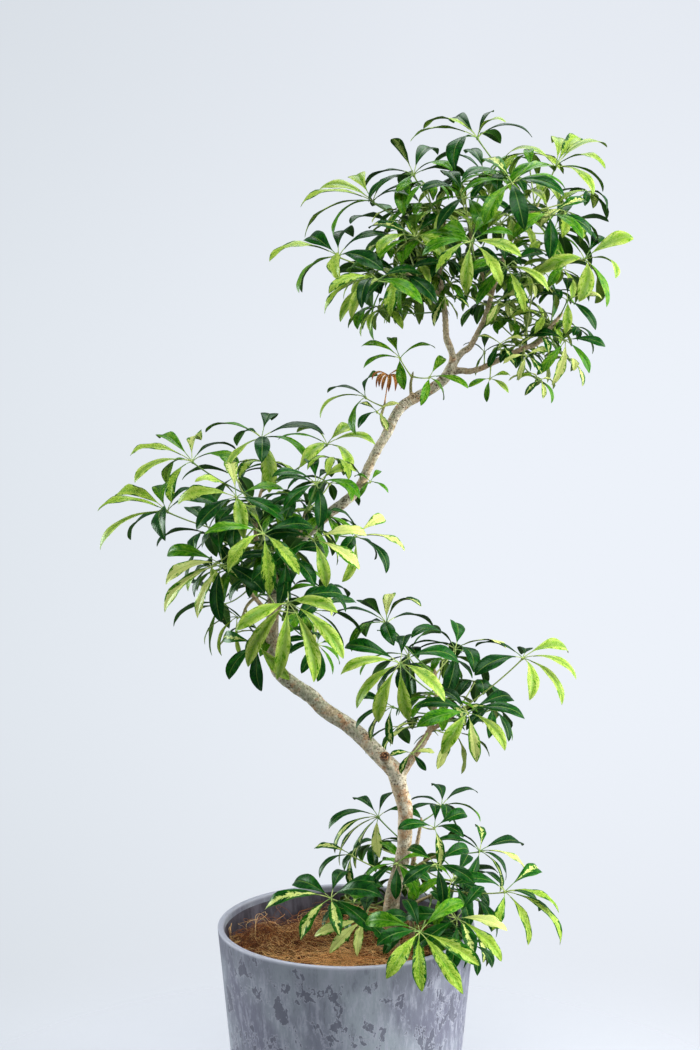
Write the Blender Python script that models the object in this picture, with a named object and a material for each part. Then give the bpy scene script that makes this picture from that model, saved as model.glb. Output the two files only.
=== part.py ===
"""A potted dwarf umbrella tree: a grey planter, soil, coir fibre, a bent trunk and its leafy shoots.

Metres, Z up, the pot's bottom centre at the origin, the viewer on the -Y side.
"""

import itertools
import math

import bmesh
import bpy
from mathutils import Vector

# Pot, in metres.
POT_HEIGHT = 0.340
POT_MOUTH_RADIUS = 0.185
POT_FOOT_RADIUS = 0.153
POT_LIP_WIDTH = 0.009
POT_FLOOR = 0.012
POT_SIDES = 64

# Filling, in metres.
GAP = 0.0003
SOIL_TOP = 0.288
COIR_TOP = 0.304
COIR_MOUND = 0.012
COIR_SIDES = 30
COIR_RINGS = 6

# Where the plant's shape was read from: a viewer this far in front of the pot's axis, in centimetres.
EYE_X = 0.54
EYE_DISTANCE = 264.8
EYE_Z = 123.5

# Leaves, as shares of a leaflet's length unless named otherwise.
CHORD_SHARE = 0.94
HALF_WIDTH = 0.148
RIB_DEPTH = 0.0013
STALK_HALF_WIDTH = 0.0011
ARCH = 0.22
DROOP = 0.30
FULL_LEAF = 8
LEAST_ANGLE = 0.62
TRUNK_CLEARANCE = 0.024
# Where along a leaflet its cross-sections lie, and how wide each is.
LARGE_STOPS = ((0.17, 0.09), (0.42, 0.88), (0.78, 0.90))
SMALL_STOPS = ((0.36, 0.85), (0.76, 0.90))
HUB_RADIUS = 0.0024
PETIOLE_RADIUS = 0.0012
LARGE_REACH = 7.0

TRUNK_SIDES = 10
BRANCH_SIDES = 8
SHOOT_SIDES = 6

# Each route lists x, depth, z and radius in centimetres. x and z are as seen in the plane y = 0.
TRUNK_ROUTE = (
    (6.3, 0.0, 31.0, 1.25),
    (6.5, -0.1, 36.5, 1.15),
    (7.0, -0.3, 39.5, 1.10),
    (7.8, -0.5, 42.5, 1.08),
    (8.3, -0.7, 45.0, 1.05),
    (8.4, -0.9, 48.0, 1.06),
    (8.4, -1.0, 51.0, 1.10),
    (7.6, -1.0, 54.0, 1.18),
    (7.1, -0.9, 56.0, 1.25),
    (5.8, -0.6, 57.6, 1.22),
    (4.0, -0.3, 59.4, 1.15),
    (2.0, 0.0, 61.5, 1.12),
    (0.0, 0.3, 63.2, 1.10),
    (-3.0, 0.7, 65.2, 1.10),
    (-5.0, 1.1, 67.2, 1.08),
    (-7.6, 1.6, 69.0, 1.05),
    (-9.7, 2.0, 71.0, 1.00),
    (-10.4, 2.3, 74.0, 0.95),
    (-10.4, 2.5, 78.0, 0.90),
    (-10.1, 2.3, 82.0, 0.85),
    (-8.8, 1.9, 86.0, 0.82),
    (-6.5, 1.4, 89.5, 0.80),
    (-4.2, 0.9, 91.7, 0.76),
    (-2.2, 0.4, 93.5, 0.74),
    (0.0, 0.0, 95.1, 0.72),
    (1.9, -0.3, 97.1, 0.70),
    (3.2, -0.6, 100.0, 0.67),
    (4.6, -0.9, 102.7, 0.66),
    (5.9, -1.0, 105.0, 0.68),
    (6.9, -0.9, 107.2, 0.70),
    (8.1, -0.7, 108.6, 0.74),
    (9.8, -0.5, 109.6, 0.72),
    (11.9, -0.3, 110.8, 0.72),
    (13.6, -0.1, 112.1, 0.76),
    (14.7, 0.0, 113.7, 0.80),
)
TRUNK_FOOT = (6.35, 0.0, 22.0, 1.25)

# Woody side branches that are part of the trunk. Each ends in a flat face where a leafy shoot begins.
FORKS = {
    "crown_left_spray": ((14.3, 0.0, 113.2, 0.55), (14.8, -0.3, 115.2, 0.50), (13.9, -0.6, 117.9, 0.46)),
    "crown_right_spray": ((14.3, 0.0, 113.2, 0.55), (15.7, 0.3, 115.4, 0.48), (17.2, 0.6, 116.6, 0.44)),
    "crown_low_spray": ((14.0, 0.0, 112.8, 0.50), (15.7, -0.3, 113.3, 0.46), (17.1, -0.6, 113.2, 0.42)),
    "mid_right_spray": ((7.4, -0.9, 55.6, 0.80), (9.7, -0.6, 58.7, 0.62), (11.1, -0.3, 60.9, 0.55)),
    "upper_trunk_shoot": ((5.9, -1.0, 105.0, 0.30), (5.1, -1.2, 105.9, 0.26)),
    "upper_trunk_spray": ((9.2, -0.6, 109.2, 0.30), (9.0, -0.9, 110.5, 0.26)),
    "trunk_leaf_tuft": ((2.0, -0.3, 97.3, 0.26), (2.4, -1.4, 97.4, 0.22)),
    "mid_left_upper_spray": ((-10.0, 2.3, 82.6, 0.50), (-11.2, 2.0, 84.4, 0.42)),
    "mid_left_inner_spray": ((-7.2, 1.6, 88.4, 0.40), (-6.9, 0.1, 89.4, 0.34)),
    "mid_left_lower_spray": ((-10.4, 2.5, 79.0, 0.45), (-11.9, 1.8, 80.2, 0.38)),
    "mid_left_front_spray": ((-10.4, 2.4, 76.4, 0.42), (-10.2, 0.9, 77.2, 0.36)),
}
PRUNED_STUB = ((5.8, -0.6, 57.6, 0.75), (5.1, -1.8, 59.0, 0.62))
BASE_STUB = ((6.8, 0.5, 32.2, 0.40), (7.9, -0.4, 33.6, 0.34))

# Shoots continue a fork, so each first route starts where its fork ends. Later routes branch off.
SHOOTS = {
    "crown_left_spray": (
        (
            (13.9, -0.6, 117.9, 0.42),
            (13.7, -0.9, 121.1, 0.40),
            (13.2, -1.0, 124.5, 0.36),
            (12.9, -0.5, 128.0, 0.32),
            (13.2, 0.3, 131.0, 0.28),
            (13.6, 1.2, 133.5, 0.22),
        ),
        ((13.3, -1.0, 123.6, 0.28), (10.8, -2.4, 125.2, 0.25), (8.6, -3.2, 126.6, 0.20)),
    ),
    "crown_right_spray": (
        (
            (17.2, 0.6, 116.6, 0.40),
            (18.2, 0.8, 118.4, 0.38),
            (19.1, 1.0, 120.3, 0.36),
            (19.8, 1.0, 122.5, 0.34),
            (20.6, 0.8, 125.5, 0.32),
            (21.8, 0.4, 129.0, 0.30),
            (23.4, 0.0, 132.5, 0.27),
            (25.2, -0.4, 134.6, 0.24),
            (26.2, -0.5, 135.8, 0.20),
        ),
        (
            (20.1, 1.0, 123.6, 0.28),
            (18.6, 1.6, 127.0, 0.25),
            (17.3, 1.6, 130.4, 0.22),
            (17.0, 1.5, 133.2, 0.18),
        ),
    ),
    "crown_low_spray": (
        (
            (17.1, -0.6, 113.2, 0.40),
            (18.7, -0.9, 113.6, 0.38),
            (20.6, -1.2, 114.5, 0.38),
            (22.5, -1.4, 115.4, 0.36),
            (24.4, -1.5, 116.3, 0.36),
            (26.5, -1.5, 117.1, 0.34),
            (27.8, -1.5, 118.6, 0.32),
            (29.6, -1.5, 120.8, 0.24),
        ),
    ),
    "mid_right_spray": (
        (
            (11.1, -0.3, 60.9, 0.50),
            (11.9, 0.0, 62.4, 0.42),
            (12.5, 0.2, 65.0, 0.34),
            (12.8, 0.3, 68.0, 0.28),
            (12.6, 0.4, 70.6, 0.22),
        ),
        ((11.9, 0.0, 62.3, 0.30), (13.9, -0.4, 63.4, 0.26), (15.9, -0.8, 65.0, 0.20)),
    ),
    "upper_trunk_shoot": (
        ((5.1, -1.2, 105.9, 0.22), (4.9, -1.3, 107.0, 0.20), (5.3, -1.0, 108.4, 0.17)),
    ),
    "upper_trunk_spray": (
        ((9.0, -0.9, 110.5, 0.22), (9.0, -1.2, 111.6, 0.20), (9.2, -1.4, 112.6, 0.16)),
    ),
    "trunk_leaf_tuft": (
        ((2.4, -1.4, 97.4, 0.19), (2.8, -2.2, 97.6, 0.15)),
    ),
    "mid_left_upper_spray": (
        (
            (-11.2, 2.0, 84.4, 0.38),
            (-12.0, 1.6, 86.8, 0.36),
            (-12.6, 1.0, 89.4, 0.32),
            (-12.7, 0.5, 92.2, 0.28),
            (-12.3, 0.3, 95.0, 0.24),
            (-11.6, 0.3, 97.4, 0.19),
        ),
    ),
    "mid_left_inner_spray": (
        (
            (-6.9, 0.1, 89.4, 0.30),
            (-6.6, -1.6, 90.6, 0.26),
            (-6.2, -3.4, 92.0, 0.22),
            (-5.8, -4.6, 93.4, 0.17),
        ),
    ),
    "mid_left_lower_spray": (
        (
            (-11.9, 1.8, 80.2, 0.34),
            (-13.2, 1.0, 81.8, 0.30),
            (-14.2, -0.2, 83.4, 0.26),
            (-14.9, -1.4, 84.8, 0.20),
        ),
        ((-12.9, 1.2, 81.4, 0.24), (-14.0, 0.6, 80.2, 0.21), (-14.6, 0.0, 78.8, 0.17)),
    ),
    "mid_left_front_spray": (
        (
            (-10.2, 0.9, 77.2, 0.32),
            (-9.9, -0.8, 78.6, 0.28),
            (-9.5, -2.6, 79.8, 0.24),
            (-9.1, -4.4, 80.6, 0.19),
        ),
    ),
}
BASE_SHOOT_FOOT = (9.5, 3.4, 22.0, 0.38)
BASE_SHOOT = (
    (
        (9.3, 3.4, 36.0, 0.37),
        (9.2, 3.4, 40.0, 0.36),
        (9.7, 3.2, 43.5, 0.34),
        (10.3, 2.9, 46.5, 0.28),
        (10.7, 2.6, 49.0, 0.20),
    ),
    ((9.3, 3.4, 36.6, 0.26), (11.2, 1.6, 37.6, 0.23), (13.2, -0.6, 38.4, 0.20), (14.8, -2.2, 38.8, 0.16)),
    ((9.35, 3.4, 34.8, 0.24), (6.6, 3.2, 35.8, 0.21), (3.9, 1.6, 36.6, 0.18), (2.2, 0.2, 37.0, 0.15)),
    ((9.5, 3.3, 42.0, 0.24), (11.8, 2.0, 43.4, 0.21), (14.4, 0.8, 44.4, 0.17)),
)

# A leaf is its hub (x, depth, z), the place its stalk springs from, its leaflets' length, and where
# each leaflet's tip is seen (x, z), with the tip's depth from the hub where the rule below is not enough.
LEAVES = {
    "crown_left_spray": (
        ((-1.0, -4.0, 129.0), (8.6, -3.2, 126.6), 9.6,
         ((-10.6, 128.3), (-5.0, 132.8), (1.0, 133.4), (5.2, 127.1), (-0.9, 125.7), (-6.5, 124.0))),
        ((3.7, 2.0, 136.5), (13.3, 0.6, 132.0), 9.8,
         ((-3.8, 138.8), (-6.3, 135.7), (-5.7, 131.5), (-1.7, 131.8), (1.7, 141.0), (9.1, 140.4))),
        ((4.4, -10.5, 125.8), (9.4, -2.9, 126.1), 8.6,
         ((-2.4, 123.9), (-3.0, 121.1), (-0.8, 120.0), (0.7, 120.4), (2.2, 121.8), (10.6, 126.6))),
        ((5.8, 4.5, 125.8), (12.9, -0.6, 127.6), 9.0,
         ((3.7, 122.0), (3.9, 117.5), (-1.6, 126.8), (11.4, 122.6))),
        ((7.9, -6.0, 126.4), (10.2, -2.6, 125.6), 7.6,
         ((6.2, 120.7), (7.9, 120.4), (12.6, 122.6), (2.4, 127.4), (8.6, 131.8))),
        ((9.6, -5.0, 131.6), (13.0, 0.0, 129.6), 8.6,
         ((3.2, 133.6), (4.3, 129.4), (10.0, 136.8), (14.8, 134.8), (13.6, 128.8))),
        ((9.3, 2.5, 140.1), (13.6, 1.2, 133.5), 8.8,
         ((6.3, 145.0), (2.6, 138.4), (14.6, 140.9), (12.6, 144.6), (8.0, 134.6))),
        ((7.4, 11.0, 132.6), (12.9, -0.4, 128.4), 9.0,
         ((0.6, 134.0), (3.6, 138.0), (11.6, 136.0), (9.2, 126.4), (2.8, 128.0))),
        ((13.7, -3.0, 123.4), (13.7, -0.9, 121.6), 4.4,
         ((12.2, 119.4), (15.4, 120.4), (17.0, 122.0), (10.4, 122.6))),
    ),
    "crown_right_spray": (
        ((18.0, 0.0, 145.1), (26.0, -0.5, 135.5), 9.0,
         ((10.6, 147.1), (8.8, 144.6), (14.8, 148.4), (15.0, 140.8), (24.6, 146.6), (20.6, 148.6))),
        ((28.7, -2.0, 141.1), (26.1, -0.5, 135.6), 8.8,
         ((35.8, 145.6), (32.1, 147.4), (35.6, 140.9), (34.0, 137.4), (28.2, 146.6), (21.8, 143.4),
          (22.2, 138.6))),
        ((22.8, -8.5, 139.0), (24.4, -0.2, 133.8), 8.8,
         ((15.8, 139.4), (18.8, 143.6), (28.6, 141.6), (30.0, 137.2), (24.6, 132.6), (19.0, 133.4))),
        ((19.0, 6.5, 140.0), (17.0, 1.5, 133.2), 8.8,
         ((12.0, 142.6), (16.4, 145.0), (25.4, 143.0), (13.0, 137.6), (24.6, 137.4))),
        ((16.4, -3.5, 137.0), (17.1, 1.5, 132.2), 8.2,
         ((10.4, 138.4), (13.6, 142.0), (21.6, 138.4), (10.8, 133.8), (19.0, 131.8))),
        ((17.2, -13.0, 131.0), (18.2, 1.6, 128.0), 8.0,
         ((12.4, 126.8), (16.6, 123.8), (21.4, 125.0), (24.2, 129.0), (13.4, 134.0), (20.2, 135.6))),
        ((22.0, -7.0, 127.6), (20.7, 0.8, 125.8), 7.6,
         ((24.7, 121.4), (28.0, 124.2), (18.0, 122.4), (27.6, 130.0), (17.0, 127.0))),
        ((32.9, -2.5, 128.6), (23.0, 0.1, 131.6), 8.6,
         ((34.1, 133.4), (39.8, 133.6), (37.2, 126.0), (32.2, 122.8), (34.4, 122.6), (26.2, 126.6))),
        ((28.6, 5.5, 132.4), (23.6, 0.0, 132.8), 8.6,
         ((33.6, 129.6), (36.2, 134.6), (30.2, 138.4), (28.6, 126.6), (22.6, 136.6))),
        ((28.0, -7.0, 134.6), (25.4, -0.4, 134.9), 7.8,
         ((32.6, 131.4), (33.0, 137.4), (28.2, 128.6), (24.6, 139.6), (23.0, 131.4))),
        ((21.4, 13.0, 133.6), (21.9, 0.4, 129.2), 9.0,
         ((14.4, 134.4), (18.2, 139.2), (28.4, 135.4), (17.0, 128.6), (25.6, 127.6))),
        ((27.4, 11.0, 126.8), (21.0, 0.7, 126.8), 8.4,
         ((34.0, 127.4), (30.4, 132.4), (22.0, 122.8), (28.6, 120.6), (33.6, 122.8))),
        ((21.2, -2.6, 122.8), (19.9, 1.0, 122.8), 4.4,
         ((24.6, 124.4), (23.4, 119.8), (19.4, 119.6), (17.9, 124.0))),
    ),
    "crown_low_spray": (
        ((30.6, -4.0, 123.0), (29.5, -1.5, 120.7), 5.4,
         ((30.6, 127.6), (35.4, 123.4), (34.6, 118.9), (30.4, 118.4), (26.0, 123.6))),
        ((30.4, -4.5, 117.5), (28.0, -1.5, 118.8), 6.2,
         ((26.5, 112.7), (28.6, 111.3), (33.8, 112.9), (36.0, 116.6), (25.2, 118.2))),
        ((21.4, -4.4, 117.0), (21.6, -1.3, 115.0), 3.9,
         ((18.0, 118.4), (19.8, 113.8), (23.4, 114.0), (24.8, 117.8))),
        ((25.0, -5.6, 115.4), (24.6, -1.5, 116.4), 3.9,
         ((21.8, 114.2), (23.9, 111.9), (27.2, 112.8), (28.3, 116.4))),
        ((25.0, 1.6, 120.0), (25.0, -1.5, 116.5), 4.2,
         ((21.4, 121.6), (24.4, 124.0), (28.8, 121.2), (23.0, 116.9))),
        ((19.2, 1.8, 115.8), (19.2, -1.0, 113.8), 3.6,
         ((16.2, 117.4), (19.4, 119.2), (22.4, 116.6), (18.0, 112.6))),
        ((20.0, -3.6, 112.2), (20.1, -1.1, 114.2), 3.6,
         ((17.0, 111.0), (19.6, 108.9), (22.6, 110.2), (22.8, 112.9))),
        ((27.4, 3.4, 115.8), (26.4, -1.5, 117.0), 4.6,
         ((31.2, 114.2), (28.0, 111.6), (24.2, 113.8), (30.4, 119.2))),
    ),
    "upper_trunk_spray": (
        ((7.5, -3.0, 115.0), (9.1, -1.4, 112.4), 5.8,
         ((2.1, 117.7), (6.3, 119.4), (2.4, 113.6), (12.4, 117.3), (8.1, 110.6))),
        ((11.6, -4.2, 112.4), (9.2, -1.4, 112.5), 5.4,
         ((13.6, 116.8), (10.4, 108.4), (13.5, 109.2), (17.0, 110.8))),
    ),
    "upper_trunk_shoot": (
        ((2.7, 0.6, 109.6), (5.2, -1.0, 108.3), 7.0,
         ((-3.6, 106.7), (-2.6, 110.6), (1.4, 104.4), (4.4, 114.6))),
        ((4.3, -3.8, 107.6), (4.9, -1.3, 107.2), 3.6,
         ((1.7, 105.3), (1.9, 109.4), (7.4, 109.4), (5.8, 104.9))),
    ),
    "trunk_leaf_tuft": (
        ((3.4, -3.4, 97.8), (2.8, -2.2, 97.6), 3.2,
         ((5.9, 96.2), (4.8, 100.2), (1.9, 95.6), (1.2, 98.9))),
    ),
    "mid_left_upper_spray": (
        ((-25.1, -2.0, 93.6), (-12.8, 0.9, 89.8), 10.0,
         ((-32.3, 96.9), (-34.9, 93.6), (-34.6, 88.1), (-24.4, 98.9), (-25.4, 89.4), (-19.4, 97.2))),
        ((-21.5, 2.0, 100.6), (-12.3, 0.3, 95.2), 9.8,
         ((-30.2, 101.9), (-29.6, 97.6), (-26.0, 106.0), (-15.4, 103.4), (-20.2, 105.6), (-24.4, 94.8))),
        ((-15.4, -8.5, 95.6), (-12.7, 0.6, 92.0), 9.0,
         ((-23.6, 94.6), (-21.2, 99.2), (-16.4, 103.0), (-8.6, 97.0), (-14.4, 89.6), (-21.0, 91.0))),
        ((-11.8, 1.0, 103.9), (-11.6, 0.3, 97.4), 9.0,
         ((-19.6, 105.2), (-16.8, 99.2), (-10.8, 96.2), (-10.4, 108.0), (-3.0, 104.6), (-5.4, 100.4))),
        ((-2.7, 0.5, 103.0), (-12.0, 0.3, 96.4), 8.2,
         ((4.3, 102.3, 2.6), (0.8, 106.4), (-6.9, 105.8), (0.1, 98.6), (-6.4, 99.8))),
        ((-11.6, -13.0, 90.4), (-12.4, 1.2, 88.6), 9.2,
         ((-16.6, 84.9), (-10.8, 81.7), (-6.6, 84.6), (-19.9, 90.4), (-14.0, 96.6))),
        ((-18.9, 8.5, 90.2), (-12.4, 1.2, 88.4), 8.8,
         ((-26.6, 88.6), (-22.4, 96.4), (-13.0, 94.6), (-15.4, 84.2), (-22.4, 83.2))),
        ((-15.4, 12.5, 98.4), (-12.6, 0.4, 93.6), 8.8,
         ((-23.0, 98.0), (-17.8, 104.2), (-8.4, 99.8), (-12.4, 91.4), (-19.4, 92.6))),
    ),
    "mid_left_inner_spray": (
        ((-4.2, -8.0, 97.4), (-5.8, -4.6, 93.4), 7.6,
         ((-10.4, 99.0), (1.9, 95.4), (1.5, 100.3), (-3.9, 91.2), (-5.4, 103.6))),
        ((-4.6, -8.0, 89.6), (-6.3, -3.0, 91.8), 8.4,
         ((1.9, 85.4), (-2.8, 82.8), (2.9, 90.6), (-9.9, 92.6))),
        ((1.2, -3.0, 90.0), (-6.2, -3.2, 91.8), 7.2,
         ((8.2, 88.0), (5.6, 84.8), (-0.6, 83.6), (5.4, 94.2), (-2.2, 93.8, -4.6))),
    ),
    "mid_left_lower_spray": (
        ((-17.4, -4.6, 86.0), (-14.9, -1.4, 84.8), 9.4,
         ((-25.4, 83.2), (-25.6, 79.2), (-21.0, 78.4), (-17.6, 77.8), (-25.2, 88.2), (-17.8, 94.4))),
        ((-15.4, 1.0, 78.6), (-14.6, 0.0, 78.8), 6.6,
         ((-20.0, 74.6), (-17.6, 73.0), (-14.6, 72.4), (-21.0, 79.6))),
        ((-17.6, 7.6, 80.6), (-13.8, 0.5, 82.6), 8.6,
         ((-24.4, 77.2), (-19.0, 73.0), (-12.4, 75.0), (-23.4, 84.6), (-14.8, 87.8))),
        ((-9.6, 9.6, 86.2), (-12.6, 1.3, 81.2), 8.6,
         ((-3.6, 90.6), (-12.6, 93.4), (-2.6, 82.6), (-8.2, 78.6), (-16.6, 84.0))),
    ),
    "mid_left_front_spray": (
        ((-8.2, -13.0, 80.6), (-9.1, -4.4, 80.6), 10.4,
         ((-13.9, 71.4), (-9.8, 69.6), (-4.6, 69.2), (-0.4, 72.6), (-15.6, 76.6), (-1.2, 79.2),
          (-8.4, 88.2))),
        ((-12.4, -4.6, 74.6), (-9.9, -1.0, 78.7), 6.8,
         ((-16.6, 69.6), (-12.0, 67.9), (-8.0, 69.6), (-17.4, 76.2))),
        ((-4.8, 1.0, 79.4), (-9.6, -2.2, 79.6), 8.2,
         ((2.0, 76.2), (-0.6, 73.2), (-5.6, 72.4), (-1.4, 85.0), (1.4, 81.4))),
    ),
    "mid_right_spray": (
        ((5.7, 3.5, 77.7), (12.6, 0.4, 70.2), 8.6,
         ((2.1, 82.6), (-1.9, 79.3), (0.8, 73.6), (10.6, 81.6), (12.4, 77.0), (6.6, 84.4))),
        ((8.8, 10.5, 73.0), (12.7, 0.4, 69.6), 8.6,
         ((4.4, 79.0), (13.4, 78.4), (16.4, 73.6), (2.0, 70.2), (9.6, 66.2))),
        ((7.7, -8.5, 71.9), (12.7, 0.3, 67.4), 9.4,
         ((-0.8, 70.3), (1.5, 65.4), (4.6, 63.4), (9.0, 63.6), (14.0, 66.4), (-0.2, 75.8), (16.0, 72.0))),
        ((6.6, -1.0, 65.7), (12.4, 0.2, 64.6), 6.4,
         ((1.4, 62.5), (3.6, 60.6), (6.6, 60.2), (2.0, 67.8))),
        ((15.4, 3.2, 74.0), (12.6, 0.4, 70.4), 8.6,
         ((19.6, 68.6), (22.6, 74.2), (14.9, 80.2), (9.2, 76.6), (14.0, 67.2))),
        ((25.0, -2.0, 72.7), (15.9, -0.8, 65.0), 8.8,
         ((18.3, 75.4), (18.2, 70.2), (31.4, 73.9), (32.6, 69.6), (30.6, 65.9), (26.0, 66.6))),
        ((17.3, -9.0, 64.8), (14.3, -0.5, 63.7), 8.8,
         ((23.6, 67.8), (25.4, 63.9), (22.6, 59.3), (18.6, 57.6), (13.6, 58.8), (10.0, 62.8), (12.8, 69.4))),
        ((15.4, 4.5, 62.0), (12.4, -0.1, 62.6), 6.8,
         ((13.0, 56.6), (16.4, 55.9), (20.4, 58.4), (21.4, 63.2), (9.6, 60.2))),
        ((9.4, -3.6, 59.0), (11.9, -0.1, 62.4), 3.8,
         ((6.2, 58.6), (7.8, 55.9), (11.4, 56.4), (12.6, 59.0))),
    ),
    "base_shoot": (
        ((4.6, 5.0, 49.6), (9.9, 3.1, 44.6), 7.6,
         ((1.2, 53.8), (7.2, 55.4), (-2.5, 47.8), (-1.6, 44.2), (4.8, 43.2))),
        ((0.8, 2.0, 44.0), (9.2, 3.4, 40.4), 6.6,
         ((-4.6, 45.6), (-3.8, 40.6), (1.0, 38.6), (4.8, 46.4))),
        ((-2.2, -6.5, 37.6), (2.2, 0.2, 37.0), 9.2,
         ((-11.7, 35.9), (-7.6, 41.2), (0.3, 43.6), (-6.6, 31.4), (-1.0, 32.0), (5.0, 38.2))),
        ((2.6, -6.8, 34.4), (3.4, 1.2, 36.7), 7.6,
         ((-4.6, 32.0), (-2.4, 29.4, -3.6), (1.6, 29.0, -4.2), (6.4, 30.4, -3.6), (3.2, 39.8))),
        ((10.6, -15.4, 32.6), (12.4, 0.2, 38.1), 10.0,
         ((5.8, 25.6, -6.0), (11.0, 23.4, -6.4), (17.2, 22.9, -5.6), (19.2, 27.6, -3.2),
          (4.4, 30.6, -2.2), (8.4, 37.4, 5.0))),
        ((15.9, -11.6, 34.6), (13.4, -0.8, 38.4), 8.6,
         ((23.2, 32.8, -1.4), (22.4, 28.2, -3.6), (18.2, 28.9, -6.4), (12.0, 38.6, 3.6), (19.6, 39.4, 3.4))),
        ((22.8, -5.6, 38.6), (14.8, -2.2, 38.8), 9.0,
         ((30.8, 30.6), (30.6, 35.4), (26.2, 30.6, -3.4), (21.0, 32.8, -4.2), (27.6, 43.6), (18.4, 42.6))),
        ((19.1, 1.4, 44.6), (14.4, 0.8, 44.4), 8.0,
         ((18.5, 50.6), (25.2, 45.9), (25.8, 41.3), (22.0, 38.4), (14.5, 48.3), (17.0, 38.8))),
        ((12.6, -4.4, 48.0), (10.6, 2.7, 48.4), 6.6,
         ((12.4, 53.4), (16.8, 46.6), (13.4, 42.2), (7.4, 47.8), (17.2, 51.2))),
        ((13.6, 6.5, 51.2), (10.7, 2.6, 48.9), 7.2,
         ((12.2, 56.2), (19.2, 48.9), (16.0, 45.4), (8.0, 49.0), (18.8, 54.4))),
        ((12.8, -9.0, 42.6), (11.0, 2.3, 43.0), 7.0,
         ((18.3, 39.9), (13.8, 36.4), (8.0, 39.6), (17.6, 46.0), (8.8, 46.4))),
        ((8.2, 10.4, 40.4), (9.2, 3.4, 38.4), 7.6,
         ((2.4, 40.8), (5.2, 45.0), (13.8, 42.2), (5.8, 34.6), (12.6, 35.6))),
        ((15.6, 9.6, 40.6), (9.3, 3.4, 41.0), 7.6,
         ((21.8, 41.8), (17.4, 46.2), (11.0, 45.0), (19.6, 35.2), (13.6, 34.4))),
    ),
}

# The brown bunch grows from the tip of the upper trunk shoot.
BROWN_HUB = (5.9, -0.2, 112.6)
BROWN_REACH = 3.4
BROWN_TIPS = ((3.6, 114.6), (4.3, 110.2), (7.6, 114.7), (8.6, 112.6), (7.4, 109.9))

COLOURS = {
    "pot": (0.21, 0.22, 0.26),
    "soil": (0.045, 0.030, 0.020),
    "coir_mulch": (0.30, 0.13, 0.045),
    "trunk": (0.43, 0.38, 0.29),
    "brown_leaf_bunch": (0.28, 0.11, 0.05),
}
LEAF_COLOUR = (0.10, 0.27, 0.05)


def clear_scene():
    for thing in list(bpy.data.objects):
        bpy.data.objects.remove(thing, do_unlink=True)


def material(name, colour, roughness):
    """A plain surface with its own name."""
    made = bpy.data.materials.new(name)
    made.use_nodes = True
    shader = made.node_tree.nodes["Principled BSDF"]
    shader.inputs["Base Color"].default_value = (*colour, 1.0)
    shader.inputs["Roughness"].default_value = roughness
    made.diffuse_color = (*colour, 1.0)
    return made


def solid(name, points, faces):
    """A closed mesh object whose faces all point outwards."""
    mesh = bpy.data.meshes.new(name)
    mesh.from_pydata([tuple(p) for p in points], [], faces)
    work = bmesh.new()
    work.from_mesh(mesh)
    bmesh.ops.recalc_face_normals(work, faces=work.faces[:])
    work.to_mesh(mesh)
    work.free()
    made = bpy.data.objects.new(name, mesh)
    bpy.context.scene.collection.objects.link(made)
    return made


def finish(thing, roughness=0.6, smooth=False):
    """Give a piece its own material, and soft shading where the real piece is round."""
    colour = COLOURS.get(thing.name, LEAF_COLOUR)
    thing.data.materials.clear()
    thing.data.materials.append(material(thing.name + "_surface", colour, roughness))
    for face in thing.data.polygons:
        face.use_smooth = smooth


def apply_boolean(thing, operation, others, solver="EXACT"):
    """One Boolean between a piece and a group of others, which are then removed."""
    group = bpy.data.collections.new("others")
    for other in others:
        group.objects.link(other)
    change = thing.modifiers.new("join", "BOOLEAN")
    change.operation = operation
    change.operand_type = "COLLECTION"
    change.collection = group
    change.solver = solver
    graph = bpy.context.evaluated_depsgraph_get()
    result = bpy.data.meshes.new_from_object(thing.evaluated_get(graph))
    thing.modifiers.clear()
    old = thing.data
    thing.data = result
    bpy.data.meshes.remove(old)
    for other in others:
        bpy.data.objects.remove(other, do_unlink=True)
    bpy.data.collections.remove(group)


def fuse(name, pieces, solver="EXACT"):
    """Join pieces that grow together into one body."""
    first = pieces[0]
    first.name = name
    apply_boolean(first, "UNION", pieces[1:], solver)
    return first


def seen(x, depth, z):
    """The place in metres that looks like (x, z) in the plane y = 0 but stands at this depth."""
    scale = (EYE_DISTANCE + depth) / EYE_DISTANCE
    return Vector((EYE_X + (x - EYE_X) * scale, depth, EYE_Z + (z - EYE_Z) * scale)) / 100


def placed(route):
    """A route's points in metres with their radii."""
    return [seen(*row[:3]) for row in route], [row[3] / 100 for row in route]


def smoothed(points, radii, steps):
    """More points along a smooth curve through the given ones."""
    out, sizes = [], []
    last = len(points) - 1
    for i in range(last):
        before, a, b, after = points[max(i - 1, 0)], points[i], points[i + 1], points[min(i + 2, last)]
        for k in range(steps):
            t = k / steps
            out.append(
                0.5
                * (
                    2 * a
                    + (b - before) * t
                    + (2 * before - 5 * a + 4 * b - after) * t * t
                    + (3 * a - before - 3 * b + after) * t ** 3
                )
            )
            sizes.append(radii[i] + (radii[i + 1] - radii[i]) * t)
    return out + [points[last]], sizes + [radii[last]]


def frames(points, first=None, last=None):
    """A pair of cross directions at each point of a route, turned as little as possible between points."""
    ahead = []
    for i in range(len(points)):
        a, b = points[max(i - 1, 0)], points[min(i + 1, len(points) - 1)]
        ahead.append((b - a).normalized())
    if first is not None:
        ahead[0] = first
    if last is not None:
        ahead[-1] = last
    side = ahead[0].cross(Vector((0.13, 1.0, 0.07))).normalized()
    pairs = []
    for forward in ahead:
        side = (side - forward * side.dot(forward)).normalized()
        pairs.append((side, forward.cross(side)))
    return pairs


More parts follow.
